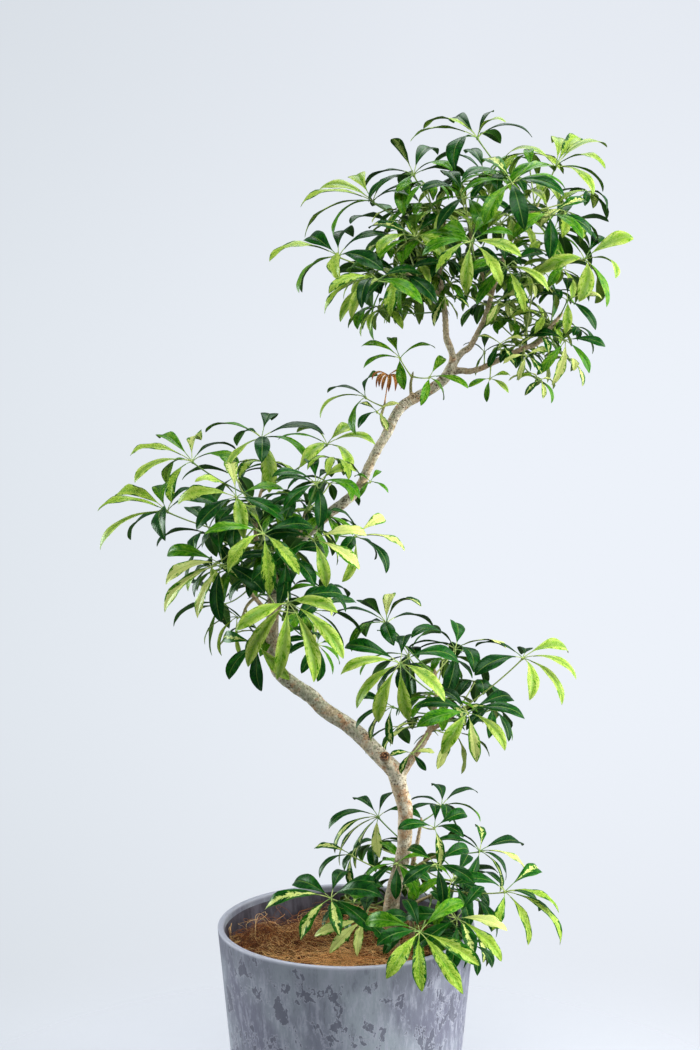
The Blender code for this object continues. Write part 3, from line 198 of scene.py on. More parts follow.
# A leaf is its hub (x, depth, z), the place its stalk springs from, its leaflets' length, and where
# each leaflet's tip is seen (x, z), with the tip's depth from the hub where the rule below is not enough.
LEAVES = {
    "crown_left_spray": (
        ((-1.0, -4.0, 129.0), (8.6, -3.2, 126.6), 9.6, "mdddmgd", ((-10.6, 128.3), (-5.0, 132.8), (1.0, 133.4),
         (5.2, 127.1), (-0.9, 125.7), (-6.5, 124.0))),
        ((3.7, 2.0, 136.5), (13.3, 0.6, 132.0), 9.8, "lmmgldd", ((-3.8, 138.8), (-6.3, 135.7), (-5.7, 131.5),
         (-1.7, 131.8), (1.7, 141.0), (9.1, 140.4))),
        ((4.4, -10.5, 125.8), (9.4, -2.9, 126.1), 8.6, "mmllddg", ((-2.4, 123.9), (-3.0, 121.1), (-0.8, 120.0),
         (0.7, 120.4), (2.2, 121.8), (10.6, 126.6))),
        ((5.8, 4.5, 125.8), (12.9, -0.6, 127.6), 9.0, "dgddd", ((3.7, 122.0), (3.9, 117.5), (-1.6, 126.8),
         (11.4, 122.6))),
        ((7.9, -6.0, 126.4), (10.2, -2.6, 125.6), 7.6, "mgddgd", ((6.2, 120.7), (7.9, 120.4), (12.6, 122.6),
         (2.4, 127.4), (8.6, 131.8))),
        ((9.6, -5.0, 131.6), (13.0, 0.0, 129.6), 8.6, "hlgdlg", ((3.2, 133.6), (4.3, 129.4), (10.0, 136.8),
         (14.8, 134.8), (13.6, 128.8))),
        ((9.3, 2.5, 140.1), (13.6, 1.2, 133.5), 8.8, "hdgdgd", ((6.3, 145.0, -3.0), (2.6, 138.4), (14.6, 140.9),
         (12.6, 144.6), (8.0, 134.6))),
        ((7.4, 11.0, 132.6), (12.9, -0.4, 128.4), 9.0, "ddgdd", ((0.6, 134.0), (3.6, 138.0), (11.6, 136.0),
         (9.2, 126.4), (2.8, 128.0))),
        ((13.7, -3.0, 123.4), (13.7, -0.9, 121.6), 4.4, "hchc", ((12.2, 119.4), (15.4, 120.4), (17.0, 122.0),
         (10.4, 122.6))),
    ),
    "crown_right_spray": (
        ((18.0, 0.0, 145.1), (26.0, -0.5, 135.5), 9.0, "mmddldd", ((10.6, 147.1), (8.8, 144.6), (14.8, 148.4),
         (15.0, 140.8), (21.9, 147.2, -4.4), (20.2, 148.6, 3.0))),
        ((28.7, -2.0, 141.1), (26.1, -0.5, 135.6), 8.8, "lmmlllg", ((35.8, 145.6), (32.1, 147.4), (35.6, 140.9),
         (34.0, 137.4), (28.2, 146.6), (21.8, 143.4), (22.2, 138.6))),
        ((22.8, -8.5, 139.0), (24.4, -0.2, 133.8), 8.8, "dhgddg", ((15.8, 139.4), (18.8, 143.6), (28.6, 141.6),
         (30.0, 137.2), (24.6, 132.6), (19.0, 133.4))),
        ((19.0, 6.5, 140.0), (17.0, 1.5, 133.2), 8.8, "ddgddg", ((12.0, 142.6), (16.4, 145.0), (25.4, 143.0),
         (13.0, 137.6), (24.6, 137.4))),
        ((16.4, -3.5, 137.0), (17.1, 1.5, 132.2), 8.2, "ddgggd", ((10.4, 138.4), (13.6, 142.0), (21.6, 138.4),
         (10.8, 133.8), (19.0, 131.8))),
        ((17.2, -13.0, 131.0), (18.2, 1.6, 128.0), 8.0, "mlmlgg", ((12.4, 126.8), (16.6, 123.8), (21.4, 125.0),
         (24.2, 129.0), (13.4, 134.0), (20.2, 135.6))),
        ((22.0, -7.0, 127.6), (20.7, 0.8, 125.8), 7.6, "mlgdgd", ((24.7, 121.4), (28.0, 124.2), (18.0, 122.4),
         (27.6, 130.0), (17.0, 127.0))),
        ((32.9, -2.5, 128.6), (23.0, 0.1, 131.6), 8.6, "dlllllg", ((34.1, 133.4), (39.8, 133.6), (37.2, 126.0),
         (32.2, 122.8), (34.4, 122.6), (26.2, 126.6))),
        ((28.6, 5.5, 132.4), (23.6, 0.0, 132.8), 8.6, "gddgdd", ((33.6, 129.6), (36.2, 134.6), (30.2, 138.4),
         (28.6, 126.6), (22.6, 136.6))),
        ((28.0, -7.0, 134.6), (25.4, -0.4, 134.9), 7.8, "ghglgd", ((32.6, 131.4), (33.0, 137.4), (28.2, 128.6),
         (24.6, 139.6), (23.0, 131.4))),
        ((21.4, 13.0, 133.6), (21.9, 0.4, 129.2), 9.0, "ddgdd", ((14.4, 134.4), (18.2, 139.2), (28.4, 135.4),
         (17.0, 128.6), (25.6, 127.6))),
        ((27.4, 11.0, 126.8), (21.0, 0.7, 126.8), 8.4, "dgddd", ((34.0, 127.4), (30.4, 132.4), (22.0, 122.8),
         (28.6, 120.6), (33.6, 122.8))),
        ((21.2, -2.6, 122.8), (19.9, 1.0, 122.8), 4.4, "cccc", ((24.6, 124.4), (23.4, 119.8), (19.4, 119.6),
         (17.9, 124.0))),
    ),
    "crown_low_spray": (
        ((30.6, -4.0, 123.0), (29.5, -1.5, 120.7), 5.4, "dcdld", ((30.6, 127.6), (35.4, 123.4), (34.6, 118.9),
         (30.4, 118.4), (26.0, 123.6))),
        ((30.4, -4.5, 117.5), (28.0, -1.5, 118.8), 6.2, "gcgdd", ((26.5, 112.7), (28.6, 111.3), (33.8, 112.9),
         (36.0, 116.6), (25.2, 118.2))),
        ((21.4, -4.4, 117.0), (21.6, -1.3, 115.0), 3.9, "hdhc", ((18.0, 118.4), (19.8, 113.8), (23.4, 114.0),
         (24.8, 117.8))),
        ((25.0, -5.6, 115.4), (24.6, -1.5, 116.4), 3.9, "cchc", ((21.8, 114.2), (23.9, 111.9), (27.2, 112.8),
         (28.3, 116.4))),
        ((25.0, 1.6, 120.0), (25.0, -1.5, 116.5), 4.2, "hccg", ((21.4, 121.6), (24.4, 124.0), (28.8, 121.2),
         (23.0, 116.9))),
        ((19.2, 1.8, 115.8), (19.2, -1.0, 113.8), 3.6, "dddh", ((16.2, 117.4), (19.4, 119.2), (22.4, 116.6),
         (18.0, 112.6))),
        ((20.0, -3.6, 112.2), (20.1, -1.1, 114.2), 3.6, "ggll", ((17.0, 111.0), (19.6, 108.9), (22.6, 110.2),
         (22.8, 112.9))),
        ((27.4, 3.4, 115.8), (26.4, -1.5, 117.0), 4.6, "gcgg", ((31.2, 114.2), (28.0, 111.6), (24.2, 113.8),
         (30.4, 119.2))),
    ),
    "upper_trunk_spray": (
        ((7.5, -3.0, 115.0), (9.1, -1.4, 112.4), 5.8, "ppppp", ((2.1, 117.7), (6.3, 119.4), (2.4, 113.6),
         (12.4, 117.3), (8.1, 110.6))),
        ((11.6, -4.2, 112.4), (9.2, -1.4, 112.5), 5.4, "pppp", ((13.6, 116.8), (10.4, 108.4), (13.5, 109.2),
         (17.0, 110.8))),
    ),
    "upper_trunk_shoot": (
        ((2.7, 0.6, 109.6), (5.2, -1.0, 108.3), 7.0, "ldgd", ((-3.6, 106.7), (-2.6, 110.6), (1.4, 104.4),
         (4.4, 114.6))),
        ((4.3, -3.8, 107.6), (4.9, -1.3, 107.2), 3.6, "dhcc", ((1.7, 105.3), (1.9, 109.4), (7.4, 109.4),
         (5.8, 104.9))),
    ),
    "trunk_leaf_tuft": (
        ((3.4, -3.4, 97.8), (2.8, -2.2, 97.6), 3.2, "gggg", ((5.9, 96.2), (4.8, 100.2), (1.9, 95.6), (1.2, 98.9))),
    ),
    "mid_left_upper_spray": (
        ((-25.1, -2.0, 93.6), (-12.8, 0.9, 89.8), 10.0, "mmlgddd", ((-32.3, 96.9), (-34.9, 93.6), (-34.6, 88.1),
         (-24.4, 98.9), (-25.4, 89.4), (-19.4, 97.2))),
        ((-21.5, 2.0, 100.6), (-12.3, 0.3, 95.2), 9.8, "mlgdcmg", ((-30.2, 101.9), (-29.6, 97.6), (-26.0, 106.0),
         (-15.4, 103.4), (-20.2, 105.6), (-24.4, 94.8))),
        ((-15.4, -8.5, 95.6), (-12.7, 0.6, 92.0), 9.0, "mmcgldd", ((-23.6, 94.6), (-21.2, 99.2), (-16.4, 103.0),
         (-8.6, 97.0), (-14.4, 89.6), (-21.0, 91.0))),
        ((-11.8, 1.0, 103.9), (-11.6, 0.3, 97.4), 9.0, "gllddgd", ((-19.6, 105.2), (-16.8, 99.2), (-10.8, 96.2),
         (-10.4, 108.0), (-3.0, 104.6), (-5.4, 100.4))),
        ((-2.7, 0.5, 103.0), (-12.0, 0.3, 96.4), 8.2, "lllllg", ((4.3, 102.3, 2.6), (0.8, 106.4), (-6.9, 105.8),
         (0.1, 98.6), (-6.4, 99.8))),
        ((-11.6, -13.0, 90.4), (-12.4, 1.2, 88.6), 9.2, "mmmgmd", ((-16.6, 84.9), (-10.8, 81.7), (-6.6, 84.6),
         (-19.9, 90.4), (-14.0, 96.6))),
        ((-8.6, -8.0, 87.2), (-12.4, 1.2, 88.4), 7.8, "dddddd", ((-4.4, 83.0), (-9.6, 80.2), (-13.4, 83.6),
         (-3.0, 88.0), (-12.8, 90.2), (-6.6, 91.4))),
        ((-18.9, 8.5, 90.2), (-12.4, 1.2, 88.4), 8.8, "dddddd", ((-26.6, 88.6), (-22.4, 96.4), (-13.0, 94.6),
         (-15.4, 84.2), (-22.4, 83.2))),
        ((-15.4, 12.5, 98.4), (-12.6, 0.4, 93.6), 8.8, "dgddd", ((-23.0, 98.0), (-17.8, 104.2), (-8.4, 99.8),
         (-12.4, 91.4), (-19.4, 92.6))),
    ),
    "mid_left_inner_spray": (
        ((-4.2, -8.0, 97.4), (-5.8, -4.6, 93.4), 7.6, "dglddd", ((-10.4, 99.0), (1.9, 95.4), (1.5, 100.3),
         (-3.9, 91.2), (-5.4, 103.6))),
        ((-4.6, -8.0, 89.6), (-6.3, -3.0, 91.8), 8.4, "clcdd", ((1.9, 85.4), (-2.8, 82.8), (2.9, 90.6),
         (-9.9, 92.6))),
        ((1.2, -3.0, 90.0), (-6.2, -3.2, 91.8), 7.2, "cdlcdd", ((8.2, 88.0), (5.6, 84.8), (-0.6, 83.6), (5.4, 94.2),
         (-2.2, 93.8, -4.6))),
    ),
    "mid_left_lower_spray": (
        ((-17.4, -4.6, 86.0), (-14.9, -1.4, 84.8), 9.4, "cccdgdd", ((-25.4, 83.2), (-25.6, 79.2), (-21.0, 78.4),
         (-17.6, 77.8), (-25.2, 88.2), (-17.8, 94.4))),
        ((-15.4, 1.0, 78.6), (-14.6, 0.0, 78.8), 6.6, "hllh", ((-20.0, 74.6), (-17.6, 73.0), (-14.6, 72.4),
         (-21.0, 79.6))),
        ((-17.6, 7.6, 80.6), (-13.8, 0.5, 82.6), 8.6, "dgddd", ((-24.4, 77.2), (-19.0, 73.0), (-12.4, 75.0),
         (-23.4, 84.6), (-14.8, 87.8))),
        ((-9.6, 9.6, 86.2), (-12.6, 1.3, 81.2), 8.6, "ddgdd", ((-3.6, 90.6), (-12.6, 93.4), (-2.6, 82.6),
         (-8.2, 78.6), (-16.6, 84.0))),
    ),
    "mid_left_front_spray": (
        ((-8.2, -13.0, 80.6), (-9.1, -4.4, 80.6), 10.4, "lllllldd", ((-13.9, 71.4), (-9.8, 69.6), (-4.6, 69.2),
         (-0.4, 72.6), (-15.6, 76.6), (-1.2, 79.2), (-8.4, 88.2))),
        ((-12.4, -4.6, 74.6), (-9.9, -1.0, 78.7), 6.8, "ddlh", ((-16.6, 69.6), (-12.0, 67.9), (-8.0, 69.6),
         (-17.4, 76.2))),
        ((-4.8, 1.0, 79.4), (-9.6, -2.2, 79.6), 8.2, "dgcddd", ((2.0, 76.2), (-0.6, 73.2), (-5.6, 72.4), (-1.4, 85.0),
         (1.4, 81.4))),
    ),
    "mid_right_spray": (
        ((5.7, 3.5, 77.7), (12.6, 0.4, 70.2), 8.6, "ddphdcd", ((2.1, 82.6), (-1.9, 79.3), (0.8, 73.6), (10.6, 81.6),
         (12.4, 77.0), (6.6, 84.4))),
        ((8.8, 10.5, 73.0), (12.7, 0.4, 69.6), 8.6, "dddgd", ((4.4, 79.0), (13.4, 78.4), (16.4, 73.6), (2.0, 70.2),
         (9.6, 66.2))),
        ((7.7, -8.5, 71.9), (12.7, 0.3, 67.4), 9.4, "lllllddd", ((-0.8, 70.3), (1.5, 65.4), (4.6, 63.4), (9.0, 63.6),
         (14.0, 66.4), (-0.2, 75.8), (16.0, 72.0))),
        ((6.6, -1.0, 65.7), (12.4, 0.2, 64.6), 6.4, "dhhd", ((1.4, 62.5), (3.6, 60.6), (6.6, 60.2), (2.0, 67.8))),
        ((15.4, 3.2, 74.0), (12.6, 0.4, 70.4), 8.6, "dcdddd", ((19.6, 68.6), (22.6, 74.2), (14.9, 80.2), (9.2, 76.6),
         (14.0, 67.2))),
        ((25.0, -2.0, 72.7), (15.9, -0.8, 65.0), 8.8, "ddlllld", ((18.3, 75.4), (18.2, 70.2), (31.4, 73.9),
         (32.6, 69.6), (30.6, 65.9), (26.0, 66.6))),
        ((17.3, -9.0, 64.8), (14.3, -0.5, 63.7), 8.8, "ddlclgdd", ((23.6, 67.8), (25.4, 63.9), (22.6, 59.3),
         (18.6, 57.6), (13.6, 58.8), (10.0, 62.8), (12.8, 69.4))),
        ((15.4, 4.5, 62.0), (12.4, -0.1, 62.6), 6.8, "cchdd", ((13.0, 56.6), (16.4, 55.9), (20.4, 58.4), (21.4, 63.2),
         (9.6, 60.2))),
        ((9.4, -3.6, 59.0), (11.9, -0.1, 62.4), 3.8, "hhdc", ((6.2, 58.6), (7.8, 55.9), (11.4, 56.4), (12.6, 59.0))),
    ),
    "base_shoot": (
        ((4.6, 5.0, 49.6), (9.9, 3.1, 44.6), 7.6, "dddhchhd", ((1.2, 53.8), (7.2, 55.4), (-2.5, 47.8), (-1.6, 44.2),
         (4.8, 43.6), (-0.9, 42.4), (1.4, 42.0))),
        ((0.8, 2.0, 44.0), (9.2, 3.4, 40.4), 6.6, "hdhd", ((-4.6, 45.6), (-3.8, 40.6), (1.0, 38.6), (4.8, 46.4))),
        ((-2.2, -6.5, 37.6), (2.2, 0.2, 37.0), 9.2, "hddhhdd", ((-11.7, 35.9), (-7.6, 41.2), (0.3, 43.6),
         (-6.6, 31.4), (-1.0, 32.0), (5.0, 38.2))),
        ((2.6, -6.8, 34.4), (3.4, 1.2, 36.7), 7.6, "cccddd", ((-4.6, 32.0), (-2.4, 29.4, -3.6), (1.6, 29.0, -4.2),
         (6.4, 30.4, -3.6), (3.2, 39.8))),
        ((10.6, -15.4, 32.6), (12.4, 0.2, 38.1), 10.0, "mmmmddg", ((5.8, 25.6, -6.0), (11.0, 23.4, -6.4),
         (17.2, 22.9, -5.6), (19.2, 27.6, -3.2), (4.4, 30.6, -2.2), (8.4, 37.4, 5.0))),
        ((15.9, -11.6, 34.6), (13.4, -0.8, 38.4), 8.6, "cmhddd", ((23.2, 32.8, -1.4), (22.4, 28.2, -3.6),
         (18.2, 28.9, -6.4), (12.0, 38.6, 3.6), (19.6, 39.4, 3.4))),
        ((22.8, -5.6, 38.6), (14.8, -2.2, 38.8), 9.0, "mmmmhdd", ((30.8, 30.6), (30.6, 35.4), (26.2, 30.6, -3.4),
         (21.0, 32.8, -4.2), (27.6, 43.6), (18.4, 42.6))),
        ((19.1, 1.4, 44.6), (14.4, 0.8, 44.4), 8.0, "hdchddd", ((18.5, 50.6), (25.2, 45.9), (25.8, 41.3),
         (22.0, 38.4), (14.5, 48.3), (17.0, 38.8))),
        ((12.6, -4.4, 48.0), (10.6, 2.7, 48.4), 6.6, "ddhdd", ((12.4, 53.4), (16.8, 46.6), (13.4, 42.2), (7.4, 47.8),
         (17.2, 51.2))),
        ((13.6, 6.5, 51.2), (10.7, 2.6, 48.9), 7.2, "dpdddd", ((12.2, 56.2), (19.2, 48.9), (16.0, 45.4), (8.0, 49.0),
         (18.8, 54.4))),
        ((12.8, -9.0, 42.6), (11.0, 2.3, 43.0), 7.0, "dddddd", ((18.3, 39.9), (13.8, 36.4), (8.0, 39.6), (17.6, 46.0),
         (8.8, 46.4))),
        ((8.2, 10.4, 40.4), (9.2, 3.4, 38.4), 7.6, "dgddd", ((2.4, 40.8), (5.2, 45.0), (13.8, 42.2), (5.8, 34.6),
         (12.6, 35.6))),
        ((15.6, 9.6, 40.6), (9.3, 3.4, 41.0), 7.6, "ddgdd", ((21.8, 41.8), (17.4, 46.2), (11.0, 45.0), (19.6, 35.2),
         (13.6, 34.4))),
    ),
}

# The brown bunch grows from the tip of the upper trunk shoot.
BROWN_HUB = (5.9, -0.2, 112.6)
BROWN_REACH = 3.4
BROWN_TIPS = (
    (3.6, 112.0, -0.6), (4.2, 110.9, -1.6), (5.0, 110.5, -2.2), (5.9, 110.3, -2.3), (6.8, 110.4, -2.1),
    (7.6, 110.7, -1.5), (8.2, 111.8, -0.4), (4.6, 111.0, 1.8), (6.9, 111.0, 2.0),
)


def screen(red: int, green: int, blue: int) -> Colour:
    """A linear colour, as shaders read it, from its 0 to 255 screen values."""
    parts = (v / 255 for v in (red, green, blue))
    return tuple(v / 12.92 if v <= 0.04045 else ((v + 0.055) / 1.055) ** 2.4 for v in parts)


class Graph:
    """Writes the nodes of one material or world, from short calls that each return a socket."""

    def __init__(self, name: str, world: bool = False) -> None:
        """Starts a material, or a world, that holds only its shader.

        Args:
            name: Its name.
            world: Whether it is a world.
        """
        self.made = (bpy.data.worlds if world else bpy.data.materials).new(name)
        self.made.use_nodes = True
        self.tree = self.made.node_tree
        self.shader = self.tree.nodes["Background" if world else "Principled BSDF"]

    def feed(self, socket: Socket, value: object) -> None:
        """Links a socket, or sets the number or colour on it.

        Args:
            socket: The input to fill.
            value: Another socket, a number or a tuple.
        """
        if isinstance(value, Socket):
            self.tree.links.new(value, socket)
        elif socket.type == "RGBA":
            socket.default_value = (*value, 1.0)
        else:
            socket.default_value = value

    def node(self, kind: str, inputs: dict | None = None, **settings: object) -> bpy.types.Node:
        """Adds one node.

        Args:
            kind: Its type without the leading words.
            inputs: What goes into each input, by name or number.
            **settings: Its own properties.

        Returns:
            The new node.
        """
        made = self.tree.nodes.new("ShaderNode" + kind)
        for key, value in settings.items():
            setattr(made, key, value)
        for key, value in (inputs or {}).items():
            self.feed(made.inputs[key], value)
        return made

    def math(self, operation: str, *values: object) -> Socket:
        """One sum on up to three numbers."""
        return self.node("Math", dict(enumerate(values)), operation=operation).outputs[0]

    def times(self, *values: object) -> Socket:
        """The first two numbers multiplied, and the third added if there is one."""
        return self.math("MULTIPLY" if len(values) == 2 else "MULTIPLY_ADD", *values)

    def plus(self, first: object, second: object) -> Socket:
        """Two numbers added."""
        return self.math("ADD", first, second)

    def minus(self, first: object, second: object) -> Socket:
        """The second number taken from the first."""
        return self.math("SUBTRACT", first, second)

    def step(
        self, value: object, low: float, high: float, start: object = 0.0, end: object = 1.0, ease: str = "SMOOTHSTEP"
    ) -> Socket:
        """A rise from start to end, while the value goes from low to high."""
        inputs = {"Value": value, "From Min": low, "From Max": high, "To Min": start, "To Max": end}
        return self.node("MapRange", inputs, interpolation_type=ease).outputs["Result"]

    def noise(self, where: object, scale: float, detail: float = 3.0, rough: float = 0.5, warp: float = 0.0) -> Socket:
        """Cloudy noise between 0 and 1, with this many lumps in one unit."""
        inputs = {"Vector": where, "Scale": scale, "Detail": detail, "Roughness": rough, "Distortion": warp}
        return self.node("TexNoise", inputs).outputs["Fac"]

    def cells(self, where: object, scale: float) -> Socket:
        """The distance to the nearest of many scattered spots."""
        return self.node("TexVoronoi", {"Vector": where, "Scale": scale}).outputs["Distance"]

    def mix(self, share: object, first: object, second: object) -> Socket:
        """A colour between two colours."""
        return self.node("Mix", {0: share, 6: first, 7: second}, data_type="RGBA").outputs[2]

    def ramp(self, value: object, stops: tuple) -> Socket:
        """A colour read off a scale.

        Args:
            value: The place on the scale.
            stops: Pairs of a place and its colour.

        Returns:
            The colour.
        """
        made = self.node("ValToRGB", {0: value})
        marks = made.color_ramp.elements
        for place, colour in stops[1:-1]:
            marks.new(place).color = (*colour, 1.0)
        for mark, (place, colour) in ((marks[0], stops[0]), (marks[len(marks) - 1], stops[-1])):
            mark.position = place
            mark.color = (*colour, 1.0)
        return made.outputs["Color"]

    def stretched(self, where: object, factors: Colour) -> Socket:
        """Coordinates multiplied axis by axis."""
        return self.node("VectorMath", {0: where, 1: factors}, operation="MULTIPLY").outputs[0]

    def distance(self, where: object, centre: Colour) -> Socket:
        """How far coordinates are from a centre."""
        return self.node("VectorMath", {0: where, 1: centre}, operation="DISTANCE").outputs["Value"]

    def joined(self, x: object, y: object, z: object) -> Socket:
        """Coordinates made from three numbers."""
        return self.node("CombineXYZ", {0: x, 1: y, 2: z}).outputs[0]

    def stored(self, name: str) -> tuple:
        """The three numbers that the mesh stores under a name."""
        return self.axes(self.node("Attribute", attribute_name=name).outputs["Vector"])

    def axes(self, where: object) -> tuple:
        """The three numbers of a vector."""
        return tuple(self.node("SeparateXYZ", {0: where}).outputs)

    def place(self) -> Socket:
        """The coordinates of the row frame."""
        return self.node("TexCoord").outputs["Object"]

    def bump(self, height: object, distance: float, strength: float) -> Socket:
        """A surface relief from a height, where 1 stands for a distance in metres."""
        return self.node("Bump", {"Height": height, "Distance": distance, "Strength": strength}).outputs[0]

    def finish(self, **inputs: object) -> bpy.types.ID:
        """Fills the shader's inputs.

        Args:
            **inputs: Each input's name with _ for a space, and what goes into it.

        Returns:
            The finished material or world.
        """
        for key, value in inputs.items():
            self.feed(self.shader.inputs[key.replace("_", " ").title().replace("Ior", "IOR")], value)
        return self.made


@dataclass(frozen=True)
class StoneFinish:
    """The planter's outside: cool grey cast stone with ragged darker patches and fine streaks."""

    pale: Colour = screen(146, 155, 162)
    middle: Colour = screen(108, 110, 126)
    patch: Colour = screen(88, 90, 104)
    lip: Colour = screen(163, 167, 179)
    roughness: float = 0.50

    def make(self) -> Material:
        """Writes the material.

        Returns:
            The material.
        """
        g = Graph("stone_outside")
        where = g.place()
        height = g.axes(where)[2]
        # Ragged dark patches with a pale edge, fewer towards the lip. The pale edge is painted highlight along the
        # patches' edges.
        cloud = g.noise(g.stretched(where, (1, 1, 0.7)), 8.0, 3.0, 0.55)
        flow = g.noise(g.stretched(where, (1, 1, 0.80)), 34.0, 4.0, 0.62, 0.4)
        ragged = g.noise(g.stretched(where, (1, 1, 0.55)), 130.0, 4.0, 0.70, 0.4)
        level = g.plus(g.times(flow, 0.72), g.times(ragged, 0.28))
        low = g.step(height, 0.300, 0.330, 0.0, 0.060)
        level = g.minus(g.times(cloud, 0.10, level), low)
        dark = g.step(level, 0.590, 0.604)
        patch_edge_highlight = g.times(g.step(level, 0.552, 0.590), g.minus(1.0, dark))
        # Fine streaks and grit.
        drip = g.noise(g.stretched(where, (1, 1, 0.24)), 95.0, 5.0, 0.70)
        fine = g.noise(g.stretched(where, (1, 1, 0.12)), 420.0, 2.0, 0.6)
        grit = g.noise(where, 1500.0, 2.0, 0.6)
        body = g.mix(g.step(cloud, 0.36, 0.62), self.middle, self.pale)
        body = g.mix(g.step(drip, 0.48, 0.66, 0.0, 0.75), body, self.lip)
        body = g.mix(g.step(drip, 0.32, 0.46, 0.50, 0.0), body, self.patch)
        # Painted highlight: the pale rim round each dark patch.
        body = g.mix(g.times(patch_edge_highlight, 0.65), body, self.lip)
        body = g.mix(g.times(dark, 0.78), body, self.patch)
        body = g.mix(g.step(fine, 0.52, 0.80, 0.0, 0.25), body, self.patch)
        body = g.mix(g.step(grit, 0.60, 0.85, 0.0, 0.25), body, self.lip)
        # Painted shade: a darker band a little below the lip, broken up by the cloud noise.
        painted_shade = g.times(g.step(height, 0.295, 0.322, 0.0, 0.60), g.step(cloud, 0.40, 0.60, 1.0, 0.35))
        body = g.mix(painted_shade, body, self.patch)
        # Painted highlight: the top of the lip painted paler, where it faces the light.
        body = g.mix(g.step(height, 0.3345, 0.3385, 0.0, 0.75), body, self.lip)
        relief = g.minus(g.times(grit, 0.25, g.times(drip, 0.5)), g.times(dark, 0.5))
        rough = g.step(level, 0.45, 0.62, self.roughness + 0.06, self.roughness - 0.06)
        return g.finish(base_color=body, roughness=rough, normal=g.bump(relief, 0.0011, 0.7), specular_ior_level=0.5)


@dataclass(frozen=True)
class InnerWallFinish:
    """The planter's inside: darker, purple-grey and streaked by water."""

    pale: Colour = screen(88, 85, 94)
    dark: Colour = screen(58, 55, 62)

    def make(self) -> Material:
        """Writes the material.

        Returns:
            The material.
        """
        g = Graph("stone_inside")
        where = g.place()
        streak = g.noise(g.stretched(where, (1, 1, 0.35)), 60.0, 5.0, 0.66)
        grain = g.noise(where, 900.0, 2.0)
        body = g.mix(g.step(streak, 0.38, 0.66), self.dark, self.pale)
        # Painted highlight: the top of the lip, on its inner side, painted paler.
        body = g.mix(g.step(g.axes(where)[2], 0.332, 0.339, 0.0, 0.5), body, self.pale)
        relief = g.plus(streak, g.times(grain, 0.4))
        return g.finish(base_color=body, roughness=0.78, normal=g.bump(relief, 0.0008, 0.5), specular_ior_level=0.3)


@dataclass(frozen=True)
class SoilFinish:
    """Dark, crumbly potting mix."""

    dark: Colour = screen(38, 27, 20)
    light: Colour = screen(86, 66, 48)

    def make(self) -> Material:
        """Writes the material.

        Returns:
            The material.
        """
        g = Graph("potting_mix")
        where = g.place()
        crumbs = g.cells(where, 330.0)
        fine = g.noise(where, 900.0, 3.0, 0.65)
        body = g.mix(g.step(g.plus(crumbs, g.times(fine, 0.5)), 0.35, 1.0), self.dark, self.light)
        return g.finish(base_color=body, roughness=0.95, normal=g.bump(crumbs, 0.002, 0.8), specular_ior_level=0.25)


@dataclass(frozen=True)
class FibreFinish:
    """Coconut fibre: each strand has its own shade, which also carries painted light at the front and painted shade in
    the heap, paler along its length in places.
    """

    shade: Colour = screen(88, 48, 22)
    middle: Colour = screen(190, 116, 54)
    bright: Colour = screen(255, 208, 134)
    mat_deep: Colour = screen(40, 25, 14)
    mat_dark: Colour = screen(50, 31, 18)
    mat_pale: Colour = screen(98, 60, 30)
    # The colour of the painted shade in the hollow at the back left, and the place it centres on.
    painted_shade: Colour = screen(46, 38, 40)
    hollow_at: Colour = (-0.108, 0.100, 0.29)
    bed: bool = False

    def make(self) -> Material:
        """Writes the material, of the loose strands or of the matted bed under them.

        Returns:
            The material.
        """
        g = Graph("coir_bed" if self.bed else "coir_strands")
        if self.bed:
            where = g.place()
            mat = g.noise(g.stretched(where, (1, 1, 0.4)), 240.0, 5.0, 0.72, 1.6)
            spots = g.noise(where, 38.0, 2.0)
            body = g.mix(g.step(mat, 0.36, 0.74), self.mat_dark, self.mat_pale)
            body = g.mix(g.step(spots, 0.38, 0.60, 0.80, 0.30), body, self.mat_deep)
            # Painted shade: the bed darkened round the hollow at the back left.
            away = g.distance(where, self.hollow_at)
            body = g.mix(g.step(away, 0.050, 0.080, 0.90, 0.0), body, self.painted_shade)
            return g.finish(base_color=body, roughness=0.92, normal=g.bump(mat, 0.004, 0.9), specular_ior_level=0.25)
        own, length, _ = g.stored("place")
        patchy = g.noise(g.joined(g.times(own, 90.0), g.times(length, 3.0), 0.0), 1.0, 2.0)
        level = g.plus(g.times(own, 0.75), g.times(patchy, 0.45))
        body = g.mix(g.step(level, 0.20, 0.60), self.shade, self.middle)
        body = g.mix(g.step(level, 0.52, 0.80), body, self.bright)
        return g.finish(base_color=body, roughness=0.58, specular_ior_level=0.4)


